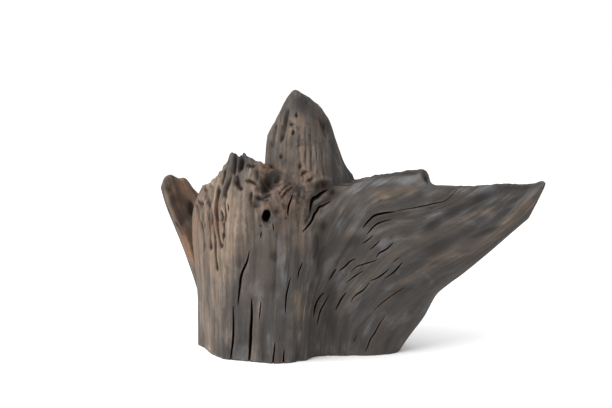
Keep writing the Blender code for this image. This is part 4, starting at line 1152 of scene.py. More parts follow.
        rim = index[:, -1]
        chains = [rim[:front]]
        left_seam = rim[start + back:][::-1]
        right_seam = rim[front:start]
        back_rim = rim[start:start + back][::-1]
        near = place[:front, -1]
        far = resample(place[start:start + back, -1][::-1], front)
        total = columns * height
        for step, row in enumerate(rows):
            inner = np.arange(total, total + front - 2)
            total += front - 2
            share = (step + 1) / steps
            points.append(row[1:-1])
            places.append((near + (far - near) * share)[1:-1])
            chains.append(np.concatenate(([left_seam[step]], inner, [right_seam[step]])))
        for lower, upper in zip(chains[:-1], chains[1:]):
            faces += np.stack((lower[:-1], lower[1:], upper[1:], upper[:-1]), axis=1).tolist()
        last = chains[-1]
        spot = 0
        for step in range(front - 1):
            goal = (step + 1) * (back - 1) / (front - 1)
            faces.append([int(last[step]), int(last[step + 1]), int(back_rim[spot])])
            while spot + 1 <= goal + 1e-9:
                faces.append([int(last[step + 1]), int(back_rim[spot + 1]), int(back_rim[spot])])
                spot += 1
        place = np.concatenate(places)
        place[:, 2] += self.offset
        return Skin(np.concatenate(points), faces, place)


@dataclass(frozen=True)
class Palette:
    """The colours of weathered bog oak as they look in the studio's light. umber is dirt and painted
    shade in the hollows, and pitch is painted shade deep in the hollows and in the checks.
    """

    slate: tuple = (74, 70, 68)
    taupe: tuple = (98, 88, 79)
    beige: tuple = (145, 125, 107)
    pale: tuple = (132, 131, 133)
    rust: tuple = (130, 91, 64)
    # Dirt and painted shade in the hollows
    umber: tuple = (79, 59, 45)
    dark: tuple = (45, 39, 35)
    # Painted shade deep in the hollows and in the checks
    pitch: tuple = (22, 17, 13)
    lip: tuple = (128, 86, 54)
    light: float = 2.5

    def linear(self, name: str) -> tuple:
        """One of the colours as linear light, with alpha."""
        shades = tuple(linear_light(value / 255) / self.light for value in getattr(self, name))
        return shades + (1.0,)


def linear_light(value: float) -> float:
    """Turn one display value into linear light."""
    return value / 12.92 if value <= 0.04045 else ((value + 0.055) / 1.055) ** 2.4


class Wiring:
    """Adds nodes to a tree and links them."""

    def __init__(self, tree: bpy.types.NodeTree) -> None:
        """Hold the tree."""
        self.tree = tree

    def node(self, kind: str, inputs: dict, **settings: object) -> bpy.types.Node:
        """Add a node.

        Args:
            kind: Its type.
            inputs: What feeds each input: a socket or a plain value.
            settings: Its properties.

        Returns:
            The new node.
        """
        node = self.tree.nodes.new(kind)
        for name, value in settings.items():
            setattr(node, name, value)
        for key, value in inputs.items():
            self.feed(node.inputs[key], value)
        return node

    def feed(self, socket: bpy.types.NodeSocket, value: object) -> None:
        """Link a socket to another, or set its value."""
        if isinstance(value, bpy.types.NodeSocket):
            self.tree.links.new(value, socket)
        else:
            socket.default_value = value

    def math(self, operation: str, *values: object) -> bpy.types.NodeSocket:
        """Add a Math node.

        Args:
            operation: Its operation.
            values: What feeds its inputs, in order.

        Returns:
            Its result.
        """
        node = self.node("ShaderNodeMath", dict(enumerate(values)), operation=operation)
        return node.outputs[0]

    def vector(self, operation: str, inputs: dict) -> bpy.types.NodeSocket:
        """Add a Vector Math node and return its result."""
        return self.node("ShaderNodeVectorMath", inputs, operation=operation).outputs[0]

    def combine(self, inputs: dict) -> bpy.types.NodeSocket:
        """Combine numbers, keyed by axis, into a vector."""
        return self.node("ShaderNodeCombineXYZ", inputs).outputs[0]

    def grey(self, value: object) -> bpy.types.NodeSocket:
        """Turn one number into a grey colour."""
        return self.node("ShaderNodeCombineColor", {0: value, 1: value, 2: value}).outputs[0]

    def mix(self, factor: object, first: object, second: object,
            blend: str = "MIX") -> bpy.types.NodeSocket:
        """Mix two colours.

        Args:
            factor: The share of the second.
            first: The first colour.
            second: The second colour.
            blend: How they blend.

        Returns:
            The mixed colour.
        """
        node = self.node("ShaderNodeMix", {}, data_type="RGBA", blend_type=blend)
        self.feed(node.inputs[0], factor)
        self.feed(node.inputs[6], first)
        self.feed(node.inputs[7], second)
        return node.outputs[2]

    def span(self, value: object, low: float, high: float,
             bottom: float = 0.0, top: float = 1.0) -> bpy.types.NodeSocket:
        """Map a range of values smoothly onto another.

        Args:
            value: What to map.
            low: Where the source range begins.
            high: Where it ends.
            bottom: The result at low.
            top: The result at high.

        Returns:
            The mapped value.
        """
        node = self.node(
            "ShaderNodeMapRange",
            {"Value": value, "From Min": low, "From Max": high, "To Min": bottom, "To Max": top},
            interpolation_type="SMOOTHSTEP")
        return node.outputs[0]

    def noise(self, vector: object, scale: float, detail: float,
              distortion: float = 0.0) -> bpy.types.NodeSocket:
        """Add a noise texture.

        Args:
            vector: Where to read it.
            scale: How fine it is.
            detail: How many octaves it has.
            distortion: How much it swirls.

        Returns:
            Its value from 0 to 1.
        """
        node = self.node("ShaderNodeTexNoise", {
            "Vector": vector, "Scale": scale, "Detail": detail, "Distortion": distortion})
        return node.outputs[0]


def sockets(kind: str, *names: str) -> tuple:
    """Pair each name with one socket type, such as Float."""
    return tuple((name, f"NodeSocket{kind}") for name in names)


def new_group(name: str, kind: str, inputs: tuple, outputs: tuple) -> tuple:
    """Make a node group with named sockets.

    Args:
        name: The group's name.
        kind: The tree's type.
        inputs: Pairs of a name and a socket type.
        outputs: Pairs of a name and a socket type.

    Returns:
        The tree, its wiring, its input node and its output node.
    """
    tree = bpy.data.node_groups.new(name, kind)
    for label, socket in inputs:
        tree.interface.new_socket(label, in_out="INPUT", socket_type=socket)
    for label, socket in outputs:
        tree.interface.new_socket(label, in_out="OUTPUT", socket_type=socket)
    wiring = Wiring(tree)
    return tree, wiring, wiring.node("NodeGroupInput", {}), wiring.node("NodeGroupOutput", {})


# Each noise of the grain: cells a metre across it and along it, and octaves
GRAIN_SIZES = {
    "Fibre": (900.0, 38.0, 3.0),
    "Streak": (260.0, 13.0, 3.0),
    "Band": (70.0, 6.0, 2.0),
    "Mottle": (60.0, 30.0, 3.0),
    "Speck": (170.0, 130.0, 2.0),
}
GRAIN_SWIRL = 0.3

# How far each noise lightens and darkens the wood
GRAIN_CONTRAST = {"Streak": 0.17, "Fibre": 0.22, "Mottle": 0.15, "Speck": 0.08}
WARM_CONTRAST = 0.16
EDGE_BREAK = 0.3
MASKS = ("Warm", "Pale", "Rust", "Dark", "Gnarl")


class OakFinish:
    """The finish of the weathered wood: its shared effects and its three materials."""

    def __init__(self, palette: Palette) -> None:
        """Build the shared effects once, then the materials.

        Args:
            palette: The colours of the wood.
        """
        self.palette = palette
        self.grain = self.grain_group()
        self.weather = self.weather_group()
        self.dirt_shade_highlight = self.dirt_shade_highlight_group()
        self.skin = self.skin_material()
        self.check = self.check_material()
        self.foot = self.foot_material()

    def grain_group(self) -> bpy.types.NodeTree:
        """Streaks that run along the grain, and mottling, at several scales.

        Returns:
            The node group.
        """
        tree, wiring, source, sink = new_group(
            "oak_grain", "ShaderNodeTree",
            sockets("Vector", "Place") + sockets("Float", "Fineness"),
            sockets("Float", *GRAIN_SIZES))
        place = wiring.vector(
            "SCALE", {0: source.outputs["Place"], "Scale": source.outputs["Fineness"]})
        for name, (across, along, detail) in GRAIN_SIZES.items():
            spread = wiring.vector("MULTIPLY", {0: place, 1: (across, across, along)})
            wiring.feed(sink.inputs[name], wiring.noise(spread, 1.0, detail, GRAIN_SWIRL))
        return tree

    def weather_group(self) -> bpy.types.NodeTree:
        """Colour from the zones of weathering, with painted shade on the dark and rust masks, broken
        up along the grain.

        Returns:
            The node group.
        """
        tree, wiring, source, sink = new_group(
            "oak_weathering", "ShaderNodeTree", sockets("Float", *MASKS, *GRAIN_SIZES),
            sockets("Color", "Colour"))
        mask = {name: source.outputs[name] for name in (*MASKS, *GRAIN_SIZES)}
        tone = self.palette.linear
        uneven = wiring.math("SUBTRACT", wiring.math("ADD", mask["Streak"], mask["Mottle"]), 1.0)

        def broken(name: str, weight: float) -> bpy.types.NodeSocket:
            """Break up the edge of a mask with streaks and mottling."""
            room = wiring.math("MULTIPLY_ADD", mask[name], weight, EDGE_BREAK * weight)
            return wiring.math("MULTIPLY_ADD", uneven, room, mask[name])

        base = wiring.mix(wiring.span(mask["Band"], 0.32, 0.72), tone("slate"), tone("taupe"))
        base = wiring.mix(wiring.span(mask["Mottle"], 0.5, 0.72, 0.0, 0.4), base, tone("pale"))
        base = wiring.mix(wiring.span(broken("Warm", 0.9), 0.05, 1.0), base, tone("beige"))
        base = wiring.mix(wiring.span(broken("Pale", 1.2), 0.1, 0.8, 0.0, 0.95), base, tone("pale"))
        spots = wiring.math(
            "MULTIPLY", mask["Gnarl"], wiring.span(mask["Speck"], 0.5, 0.7, 0.0, 0.5))
        # The rust mask holds rust-brown stains and some painted shade in brown on flutes and banks.
        rust = wiring.math(
            "MAXIMUM", wiring.span(broken("Rust", 1.2), 0.15, 1.0, 0.0, 0.85), spots)
        base = wiring.mix(rust, base, tone("rust"))
        holes = wiring.math(
            "MULTIPLY", mask["Gnarl"], wiring.span(mask["Speck"], 0.48, 0.34, 0.0, 0.75))
        # The dark mask holds dark stains and painted shade in grooves, pockets, folds and the valley.
        dark = wiring.math("MAXIMUM", wiring.span(broken("Dark", 1.2), 0.1, 0.8, 0.0, 0.9), holes)
        base = wiring.mix(dark, base, tone("dark"))
        streak = wiring.span(mask["Streak"], 0.3, 0.7, -WARM_CONTRAST, WARM_CONTRAST)
        shade = wiring.math("MULTIPLY_ADD", mask["Warm"], streak, 1.0)
        for name, spread in GRAIN_CONTRAST.items():
            layer = wiring.span(mask[name], 0.3, 0.7, 1.0 - spread, 1.0 + spread)
            shade = wiring.math("MULTIPLY", shade, layer)
        wiring.feed(sink.inputs["Colour"], wiring.mix(1.0, base, wiring.grey(shade), "MULTIPLY"))
        return tree

    def dirt_shade_highlight_group(self) -> bpy.types.NodeTree:
        """Dirt and painted shade in the hollows, and painted highlight on the crests.

        Returns:
            The node group.
        """
        tree, wiring, source, sink = new_group(
            "oak_wear", "ShaderNodeTree",
            sockets("Color", "Colour") + sockets("Float", "Hollow", "Crest", "Fibre"),
            sockets("Color", "Colour") + sockets("Float", "Roughness"))
        tone = self.palette.linear
        # Hollows go towards umber, dirt and painted shade, and the deepest towards pitch, painted
        # shade.
        hollow = wiring.span(source.outputs["Hollow"], 0.06, 1.1, 0.0, 0.85)
        pit = wiring.span(source.outputs["Hollow"], 0.7, 1.5, 0.0, 0.8)
        # Crests are lightened: painted highlight.
        crest = wiring.span(source.outputs["Crest"], 0.1, 1.2, 1.0, 1.35)
        dirtied_shaded_lit = wiring.mix(1.0, source.outputs["Colour"], wiring.grey(crest), "MULTIPLY")
        dirtied_shaded_lit = wiring.mix(hollow, dirtied_shaded_lit, tone("umber"))
        dirtied_shaded_lit = wiring.mix(pit, dirtied_shaded_lit, tone("pitch"))
        wiring.feed(sink.inputs["Colour"], dirtied_shaded_lit)
        rough = wiring.span(source.outputs["Fibre"], 0.25, 0.75, 0.58, 0.78)
        rough = wiring.math("MULTIPLY_ADD", hollow, 0.2, rough)
        wiring.feed(sink.inputs["Roughness"], rough)
        return tree

    def attribute(self, wiring: Wiring, name: str, output: str = "Fac") -> bpy.types.NodeSocket:
        """Read one of the piece's own attributes."""
        return wiring.node("ShaderNodeAttribute", {}, attribute_name=name).outputs[output]

    def new_material(self, name: str) -> tuple:
        """Make a material and return it with its wiring and its shader."""
        material = bpy.data.materials.new(name)
        material.use_nodes = True
        shader = material.node_tree.nodes["Principled BSDF"]
        return material, Wiring(material.node_tree), shader

    def grain_of(self, wiring: Wiring, fineness: float) -> dict:
        """Read the noises of the grain where they lie on the piece."""
        place = self.attribute(wiring, "grain_place", "Vector")
        return wiring.node("ShaderNodeGroup", {"Place": place, "Fineness": fineness},
                           node_tree=self.grain).outputs

    def dress(self, wiring: Wiring, shader: bpy.types.Node, inputs: dict, height: object,
              distance: float, strength: float) -> None:
        """Feed a shader, and bump it.

        Args:
            wiring: The wiring of its tree.
            shader: The shader.
            inputs: What feeds its inputs.
            height: What the bump reads.
            distance: The height of the bump, in metres.
            strength: Its strength, from 0 to 1.
        """
        bump = wiring.node(
            "ShaderNodeBump", {"Height": height, "Distance": distance, "Strength": strength})
        for name, value in {**inputs, "Normal": bump.outputs[0]}.items():
            wiring.feed(shader.inputs[name], value)

    def skin_material(self) -> bpy.types.Material:
        """The weathered outside.

        Returns:
            The material.
        """
        material, wiring, shader = self.new_material("weathered_oak")
        grain = self.grain_of(wiring, 1.0)
        masks = {name: self.attribute(wiring, name.lower()) for name in MASKS}
        noises = {name: grain[name] for name in GRAIN_SIZES}
        weather = wiring.node("ShaderNodeGroup", {**masks, **noises}, node_tree=self.weather)
        dirt_shade_highlight = wiring.node("ShaderNodeGroup", {
            "Colour": weather.outputs["Colour"], "Hollow": self.attribute(wiring, "hollow"),
            "Crest": self.attribute(wiring, "crest"), "Fibre": grain["Fibre"]},
            node_tree=self.dirt_shade_highlight)
        height = wiring.math("MULTIPLY_ADD", grain["Streak"], 0.9, grain["Fibre"])
        self.dress(wiring, shader, {
            "Base Color": dirt_shade_highlight.outputs["Colour"], "Roughness": dirt_shade_highlight.outputs["Roughness"],
            "Specular IOR Level": 0.35}, height, 0.6 * MM, 0.55)
        return material

    def check_material(self) -> bpy.types.Material:
        """The walls of the checks: a warm lip that falls to black with depth, as painted shade.

        Returns:
            The material.
        """
        material, wiring, shader = self.new_material("check_wall")
        grain = self.grain_of(wiring, 1.6)
        depth = self.attribute(wiring, "check")
        tone = self.palette.linear
        lip = wiring.mix(wiring.span(grain["Mottle"], 0.35, 0.65), tone("dark"), tone("lip"))
        # From half a millimetre to four deep the wall fades to pitch: painted shade.
        colour = wiring.mix(wiring.span(depth, 0.05, 0.4), lip, tone("pitch"))
        self.dress(wiring, shader, {
            "Base Color": colour, "Roughness": wiring.span(grain["Fibre"], 0.3, 0.7, 0.8, 0.95),
            "Specular IOR Level": 0.15}, grain["Fibre"], 0.6 * MM, 0.6)
        return material

    def foot_material(self) -> bpy.types.Material:
        """The sawn foot: growth rings and saw marks.

        Returns:
            The material.
        """
        material, wiring, shader = self.new_material("sawn_foot")
        spot = wiring.node("ShaderNodeTexCoord", {}).outputs["Object"]
        centred = wiring.node("ShaderNodeMapping", {
            "Vector": spot, "Location": (0.02, -0.03, 0.0), "Scale": (1.0, 1.3, 1.0)}).outputs[0]
        rings = wiring.node("ShaderNodeTexWave", {
            "Vector": centred, "Scale": 95.0, "Distortion": 7.0, "Detail": 3.0,
            "Detail Scale": 1.4}, wave_type="RINGS", rings_direction="Z")
        saw = wiring.node("ShaderNodeTexWave", {
            "Vector": spot, "Scale": 160.0, "Distortion": 1.2, "Detail": 2.0}, bands_direction="X")
        mottle = wiring.noise(spot, 30.0, 4.0)
        tone = self.palette.linear
        colour = wiring.mix(rings.outputs["Fac"], tone("dark"), tone("taupe"))
        colour = wiring.mix(wiring.span(mottle, 0.45, 0.7, 0.0, 0.5), colour, tone("rust"))
        self.dress(wiring, shader, {
            "Base Color": colour, "Roughness": wiring.span(mottle, 0.3, 0.7, 0.75, 0.9)},
            saw.outputs["Fac"], 0.4 * MM, 0.5)
        return material


@dataclass
class CheckCutter:
    """Sweeps the wedges that open the checks, along the skin they follow."""

    body: bpy.types.Object
    finish: bpy.types.Material
    clearance: float = 5.0 * MM
    floor: float = 1.0 * MM
    ends: float = 0.22
    wobble: float = 0.9 * MM
    pitch: float = 2.2 * MM
    start: float = 0.3
    sway_scale: float = 130.0
    keel_share: float = 0.08
    arch_power: float = 0.6
    knot_steps: int = 8
    tree: bpy.types.NodeTree = field(init=False)

    def __post_init__(self) -> None:
        """Build the sweeping tree once."""
        self.tree = self.build_tree()

    def build_tree(self) -> bpy.types.NodeTree:
        """A path is laid on the skin, wanders a little and is swept to a wedge.

        Returns:
            The Geometry Nodes tree.
        """
        tree, wiring, source, sink = new_group(
            "check_cutter", "GeometryNodeTree",
            sockets("Geometry", "Path") + sockets("Object", "Body")
            + sockets("Float", "Depth", "Width", "Clearance", "Ends", "Floor", "Wobble", "Pitch",
                      "Facing", "Seed")
            + sockets("Material", "Wall"),
            sockets("Geometry", "Cutter"))
        given = source.outputs
        body = wiring.node("GeometryNodeObjectInfo", {"Object": given["Body"]})
        path = wiring.node("GeometryNodeResampleCurve",
                           {"Curve": given["Path"], "Length": given["Pitch"]}, mode="LENGTH")
        here = wiring.node("GeometryNodeInputPosition", {})
        spot = wiring.node("ShaderNodeSeparateXYZ", {0: here.outputs[0]})
        lifted = wiring.combine({
            0: spot.outputs[0], 1: spot.outputs[1],
            2: wiring.math("MAXIMUM", spot.outputs[2], given["Floor"])})
        inward = wiring.combine({1: wiring.math("MULTIPLY", given["Facing"], -1.0)})
        ray = wiring.node("GeometryNodeRaycast", {
            "Target Geometry": body.outputs["Geometry"], "Source Position": lifted,
            "Ray Direction": inward, "Ray Length": 1.0})
        landed = wiring.node("ShaderNodeSeparateXYZ", {0: ray.outputs["Hit Position"]})
        on_skin = wiring.combine({0: spot.outputs[0], 1: landed.outputs[1], 2: spot.outputs[2]})
        noise = wiring.node("ShaderNodeTexNoise", {
            "Vector": here.outputs[0], "W": given["Seed"], "Scale": self.sway_scale,
            "Detail": 1.0}, noise_dimensions="4D")
        sway = wiring.vector("SUBTRACT", {0: noise.outputs["Color"], 1: (0.5, 0.5, 0.5)})
        sway = wiring.vector("SCALE", {0: sway, "Scale": given["Wobble"]})
        placed = wiring.node("GeometryNodeSetPosition", {
            "Geometry": path.outputs[0], "Position": on_skin, "Offset": sway})
        turned = wiring.node("GeometryNodeSetCurveNormal", {
            "Curve": placed.outputs[0], "Normal": wiring.combine({1: given["Facing"]})},
            mode="FREE")
        half = wiring.math("MULTIPLY", given["Width"], 0.5)
        flare = wiring.math("DIVIDE", given["Clearance"], given["Depth"])
        mouth = wiring.math("MULTIPLY", half, wiring.math("ADD", flare, 1.0))
        keel = wiring.math("MULTIPLY", half, self.keel_share)
        below = wiring.math("MULTIPLY", given["Depth"], -1.0)
        corners = []
        for out, side, sign in ((given["Clearance"], mouth, 1.0), (given["Clearance"], mouth, -1.0),
                                (below, keel, -1.0), (below, keel, 1.0)):
            corners.append(wiring.combine({0: out, 1: wiring.math("MULTIPLY", side, sign)}))
        section = wiring.node("GeometryNodeCurvePrimitiveQuadrilateral", {
            f"Point {number + 1}": corner for number, corner in enumerate(corners)}, mode="POINTS")
        share = wiring.node("GeometryNodeSplineParameter", {}).outputs["Factor"]
        arch = wiring.math("SINE", wiring.math("MULTIPLY", share, math.pi))
        arch = wiring.math("POWER", wiring.math("MAXIMUM", arch, 0.0), self.arch_power)
        room = wiring.math("SUBTRACT", 1.0, given["Ends"])
        swell = wiring.math("ADD", wiring.math("MULTIPLY", arch, room), given["Ends"])
        swept = wiring.node("GeometryNodeCurveToMesh", {
            "Curve": turned.outputs[0], "Profile Curve": section.outputs[0],
            "Scale": swell, "Fill Caps": True})
        real = wiring.node("GeometryNodeRealizeInstances", {"Geometry": swept.outputs[0]})
        dressed = wiring.node("GeometryNodeSetMaterial", {
            "Geometry": real.outputs[0], "Material": given["Wall"]})
        wiring.feed(sink.inputs["Cutter"], dressed.outputs[0])
        return tree

    def wedge(self, stroke: Stroke, facing: float, seed: float) -> bpy.types.Object:
        """Sweep the wedge of one check.

        Args:
            stroke: The check.
            facing: -1 for the front skin and 1 for the back.
            seed: The draw that the wedge's wander takes.

        Returns:
            A closed mesh object.
        """
        curve = bpy.data.curves.new(stroke.name, "CURVE")
        curve.dimensions = "3D"
        run = curve.splines.new("POLY")
        path = np.array(stroke.path, dtype=float) * MM
        smooth = spline(path, np.linspace(0, len(path) - 1, self.knot_steps * len(path)))
        run.points.add(len(smooth) - 1)
        for point, (x, z) in zip(run.points, smooth):
            point.co = (x, self.start * facing, z, 1.0)
        holder = bpy.data.objects.new(stroke.name, curve)
        bpy.context.scene.collection.objects.link(holder)
        modifier = holder.modifiers.new("cutter", "NODES")
        modifier.node_group = self.tree
        values = {
            "Body": self.body, "Depth": stroke.depth * MM, "Width": stroke.width * MM,
            "Clearance": self.clearance, "Ends": self.ends, "Floor": self.floor,
            "Wobble": self.wobble, "Pitch": self.pitch, "Facing": facing, "Seed": seed,
            "Wall": self.finish}
        for item in self.tree.interface.items_tree:
            if item.in_out == "INPUT" and item.name in values:
                modifier[item.identifier] = values[item.name]
        graph = bpy.context.evaluated_depsgraph_get()
        mesh = bpy.data.meshes.new_from_object(holder.evaluated_get(graph))
        bpy.data.objects.remove(holder)
        shape = bmesh.new()
        shape.from_mesh(mesh)
        bmesh.ops.remove_doubles(shape, verts=shape.verts, dist=MERGE_GAP)
        bmesh.ops.triangulate(shape, faces=shape.faces)
        bmesh.ops.recalc_face_normals(shape, faces=shape.faces)
        shape.to_mesh(mesh)
        shape.free()
        return bpy.data.objects.new(stroke.name, mesh)


@dataclass
class BogOakPiece:
    """The whole piece: its limbs joined, checked, weathered and dressed.

    gnarls are (strength, middle, reach) of the rough zones, in millimetres.
    """

    finish: OakFinish
    crease_touch: float = 0.08 * MM
    crease_reach: float = 6.0 * MM
    crease_rounds: int = 10
    crease_ease: float = 0.6
    hole_at: tuple = (-32.0, 160.0)
    hole_mouth: float = 5.6 * MM
    hole_floor: float = 2.4 * MM
    hole_depth: float = 22.0 * MM
    hole_stretch: tuple = (0.8, 1.3)
    hole_shares: tuple = (-0.25, 0.0, 0.15, 0.45, 0.8, 1.0)
    hole_widest: float = -0.1
    hole_sides: int = 44
    check_scale: float = 10.0 * MM
    close_bend: float = 0.9 * MM
    broad_bend: float = 3.4 * MM
    bend_ease: float = 0.6
    close_rounds: int = 4
    broad_rounds: int = 26
    bend_limit: float = 1.5
    front_span: tuple = (-0.4, 0.3)
    pinch: float = 0.0005 * MM
    pinch_rounds: int = 6
    rim_sides: int = 12
    # How far deep, narrow grooves are darkened, as dirt and painted shade.
    groove_dirt_and_shade: float = 0.95
    gnarls: tuple = (
        (1.5, (-12, 184), (34, 30)), (0.65, (4, 254), (26, 34)), (0.7, (28, 187), (16, 9)))
    groove_dirt_and_shade_depth: float = 1.7
    groove_dirt_and_shade_width: float = 3.2
    full_groove_dirt_and_shade: float = 3.2
    sawn_slope: float = -0.9
    sawn_gap: float = 0.2 * MM
    body: bpy.types.Object = field(init=False, default=None)
    skins: list = field(init=False, default_factory=list)

    def limbs(self) -> tuple:
        """The three limbs and how finely each is laid out."""
        return (
            Limb("stump", STUMP_STRANDS, WALL_STROKES + KNOT_STROKES + WING_STROKES,
                 STUMP_LAYERS, 1.2, 2.3, 112, 18, 1.25, 9.0, STUMP_NICKS),
            Limb("peak", PEAK_STRANDS, PEAK_STROKES, PEAK_LAYERS, 1.15, 2.4, 66, 8, 1.0, 0.0,
                 PEAK_NICKS),
            Limb("prong", PRONG_STRANDS, PRONG_STROKES, PRONG_LAYERS, 1.4, 2.0, 66, 8, 1.0, 0.0),
        )

    def grow(self) -> None:
        """Build the limbs' skins and join them in one body."""
        rng = random.Random(SEED)
        joined = bpy.data.collections.new("limbs")
        for number, limb in enumerate(self.limbs()):
            skin = LimbBuilder(limb, rng, float(number)).build()
            self.skins.append(skin)
            mesh = bpy.data.meshes.new(limb.name)
            mesh.from_pydata(skin.points.tolist(), [], skin.faces)
            mesh.materials.append(self.finish.skin)
            part = bpy.data.objects.new(limb.name, mesh)
            if self.body is None:
                self.body = part
                bpy.context.scene.collection.objects.link(part)
            else:
                joined.objects.link(part)
            LOG.info("%s: %d points", limb.name, len(skin.points))
        self.body.name = PIECE
        self.combine("UNION", joined)

    def combine(self, operation: str, others: bpy.types.Collection) -> None:
        """Join or cut the body with everything in a collection, then drop it.

        Args:
            operation: UNION or DIFFERENCE.
            others: The operands.
        """
        bpy.context.scene.collection.children.link(others)
        modifier = self.body.modifiers.new(operation.lower(), "BOOLEAN")
        modifier.operation = operation
        modifier.operand_type = "COLLECTION"
        modifier.collection = others
        modifier.solver = "MANIFOLD"
        modifier.material_mode = "TRANSFER"
        graph = bpy.context.evaluated_depsgraph_get()
        mesh = bpy.data.meshes.new_from_object(self.body.evaluated_get(graph))
        self.body.modifiers.clear()
        self.body.data = mesh
        for item in list(others.objects):
            bpy.data.objects.remove(item)
        bpy.data.collections.remove(others)

    def positions(self) -> np.ndarray:
        """The body's points."""
        flat = np.empty(len(self.body.data.vertices) * 3)
        self.body.data.vertices.foreach_get("co", flat)
        return flat.reshape(-1, 3)

    def smooth(self, points: np.ndarray, weight: np.ndarray, rounds: int) -> np.ndarray:
        """Draw points towards the middle of their neighbours.

        Args:
            points: The points to move.
            weight: How far each may go in one round, from 0 to 1.
            rounds: How many rounds.

        Returns:
            The moved points.
        """
        ends = np.empty(len(self.body.data.edges) * 2, dtype=int)
        self.body.data.edges.foreach_get("vertices", ends)
        ends = ends.reshape(-1, 2)
        here = np.concatenate((ends[:, 0], ends[:, 1]))
        there = np.concatenate((ends[:, 1], ends[:, 0]))
        count = np.maximum(np.bincount(here, minlength=len(points)), 1)
        for _ in range(rounds):
            middle = np.stack([np.bincount(here, points[there, axis], len(points))
                               for axis in range(3)], axis=1) / count[:, None]
            points = points + (middle - points) * weight[:, None]
        return points

    def blend_creases(self) -> None:
        """Ease the body where one limb grows out of another."""
        points = self.positions()
        touch = np.zeros(len(points), dtype=int)
        for skin in self.skins:
            for number, point in enumerate(points):
                if skin.tree.find_nearest(point, self.crease_touch)[0] is not None:
                    touch[number] += 1
        seam = np.nonzero(touch > 1)[0]
        tree = KDTree(len(seam))
        for spot, number in enumerate(seam):
            tree.insert(points[number], spot)
        tree.balance()
        distance = np.array([tree.find(point)[2] for point in points])
        weight = self.crease_ease * (1 - smooth_step(0.0, self.crease_reach, distance))
        points = self.smooth(points, weight, self.crease_rounds)
        self.body.data.vertices.foreach_set("co", points.ravel())
        self.body.data.update()
        LOG.info("creases: %d points eased", len(seam))

    def cut_checks(self) -> BVHTree:
        """Open the checks and the knot hole.

        Returns:
            The uncut skin, for reading how deep each wall lies.
        """
        uncut = BVHTree.FromObject(self.body, bpy.context.evaluated_depsgraph_get())
        cutter = CheckCutter(self.body, self.finish.check)
        blades = bpy.data.collections.new("blades")
        sides = [(check, -1.0) for check in CHECKS] + [(check, 1.0) for check in BACK_CHECKS]
        for seed, (check, facing) in enumerate(sides):
            blades.objects.link(cutter.wedge(check, facing, float(seed)))
        blades.objects.link(self.knot_hole(uncut))
        self.combine("DIFFERENCE", blades)
        LOG.info("checks: %d cut", len(sides))
        return uncut

    def knot_hole(self, skin: BVHTree) -> bpy.types.Object:
        """A short tapered plug where the knot has rotted out of the wall.

        Args:
            skin: The uncut skin.

        Returns:
            The plug.
        """
        x, z = (value * MM for value in self.hole_at)
        front = skin.ray_cast(Vector((x, -0.3, z)), Vector((0, 1, 0)))[0].y
        shape = bmesh.new()
        rings = []
        for share in self.hole_shares:
            narrowing = max(share, self.hole_widest)
            size = self.hole_mouth + (self.hole_floor - self.hole_mouth) * narrowing
            ring = []
            for step in range(self.hole_sides):
                angle = 2 * math.pi * step / self.hole_sides
                bump = 1 + 0.1 * math.sin(2 * angle + 0.6) + 0.06 * math.sin(4 * angle + share * 3)
                ring.append(shape.verts.new((
                    x + size * bump * self.hole_stretch[0] * math.cos(angle),
                    front + share * self.hole_depth,
                    z + size * bump * self.hole_stretch[1] * math.sin(angle))))
            rings.append(ring)
        for first, second in zip(rings[:-1], rings[1:]):
            for step in range(self.hole_sides):
                following = (step + 1) % self.hole_sides
                shape.faces.new((first[step], first[following], second[following], second[step]))
        shape.faces.new(rings[0][::-1])
        shape.faces.new(rings[-1])
        bmesh.ops.recalc_face_normals(shape, faces=shape.faces)
        mesh = bpy.data.meshes.new("knot_hole")
        shape.to_mesh(mesh)
        shape.free()
        # Its walls take the checks' finish, painted black with depth as shade.
        mesh.materials.append(self.finish.check)
        return bpy.data.objects.new("knot_hole", mesh)

    def drop_crumbs(self, shape: bmesh.types.BMesh) -> None:
        """Keep only the largest body of a mesh.

        Args:
            shape: The mesh.
        """
        shape.verts.ensure_lookup_table()
        seen = np.zeros(len(shape.verts), dtype=bool)
        islands = []
        for vert in shape.verts:
            if seen[vert.index]:
                continue
            stack = [vert]
            island = []
            seen[vert.index] = True
            while stack:
                current = stack.pop()
                island.append(current)
                for edge in current.link_edges:
                    other = edge.other_vert(current)
                    if not seen[other.index]:
                        seen[other.index] = True
                        stack.append(other)
            islands.append(island)
        islands.sort(key=len)
        for island in islands[:-1]:
            bmesh.ops.delete(shape, geom=island, context="VERTS")

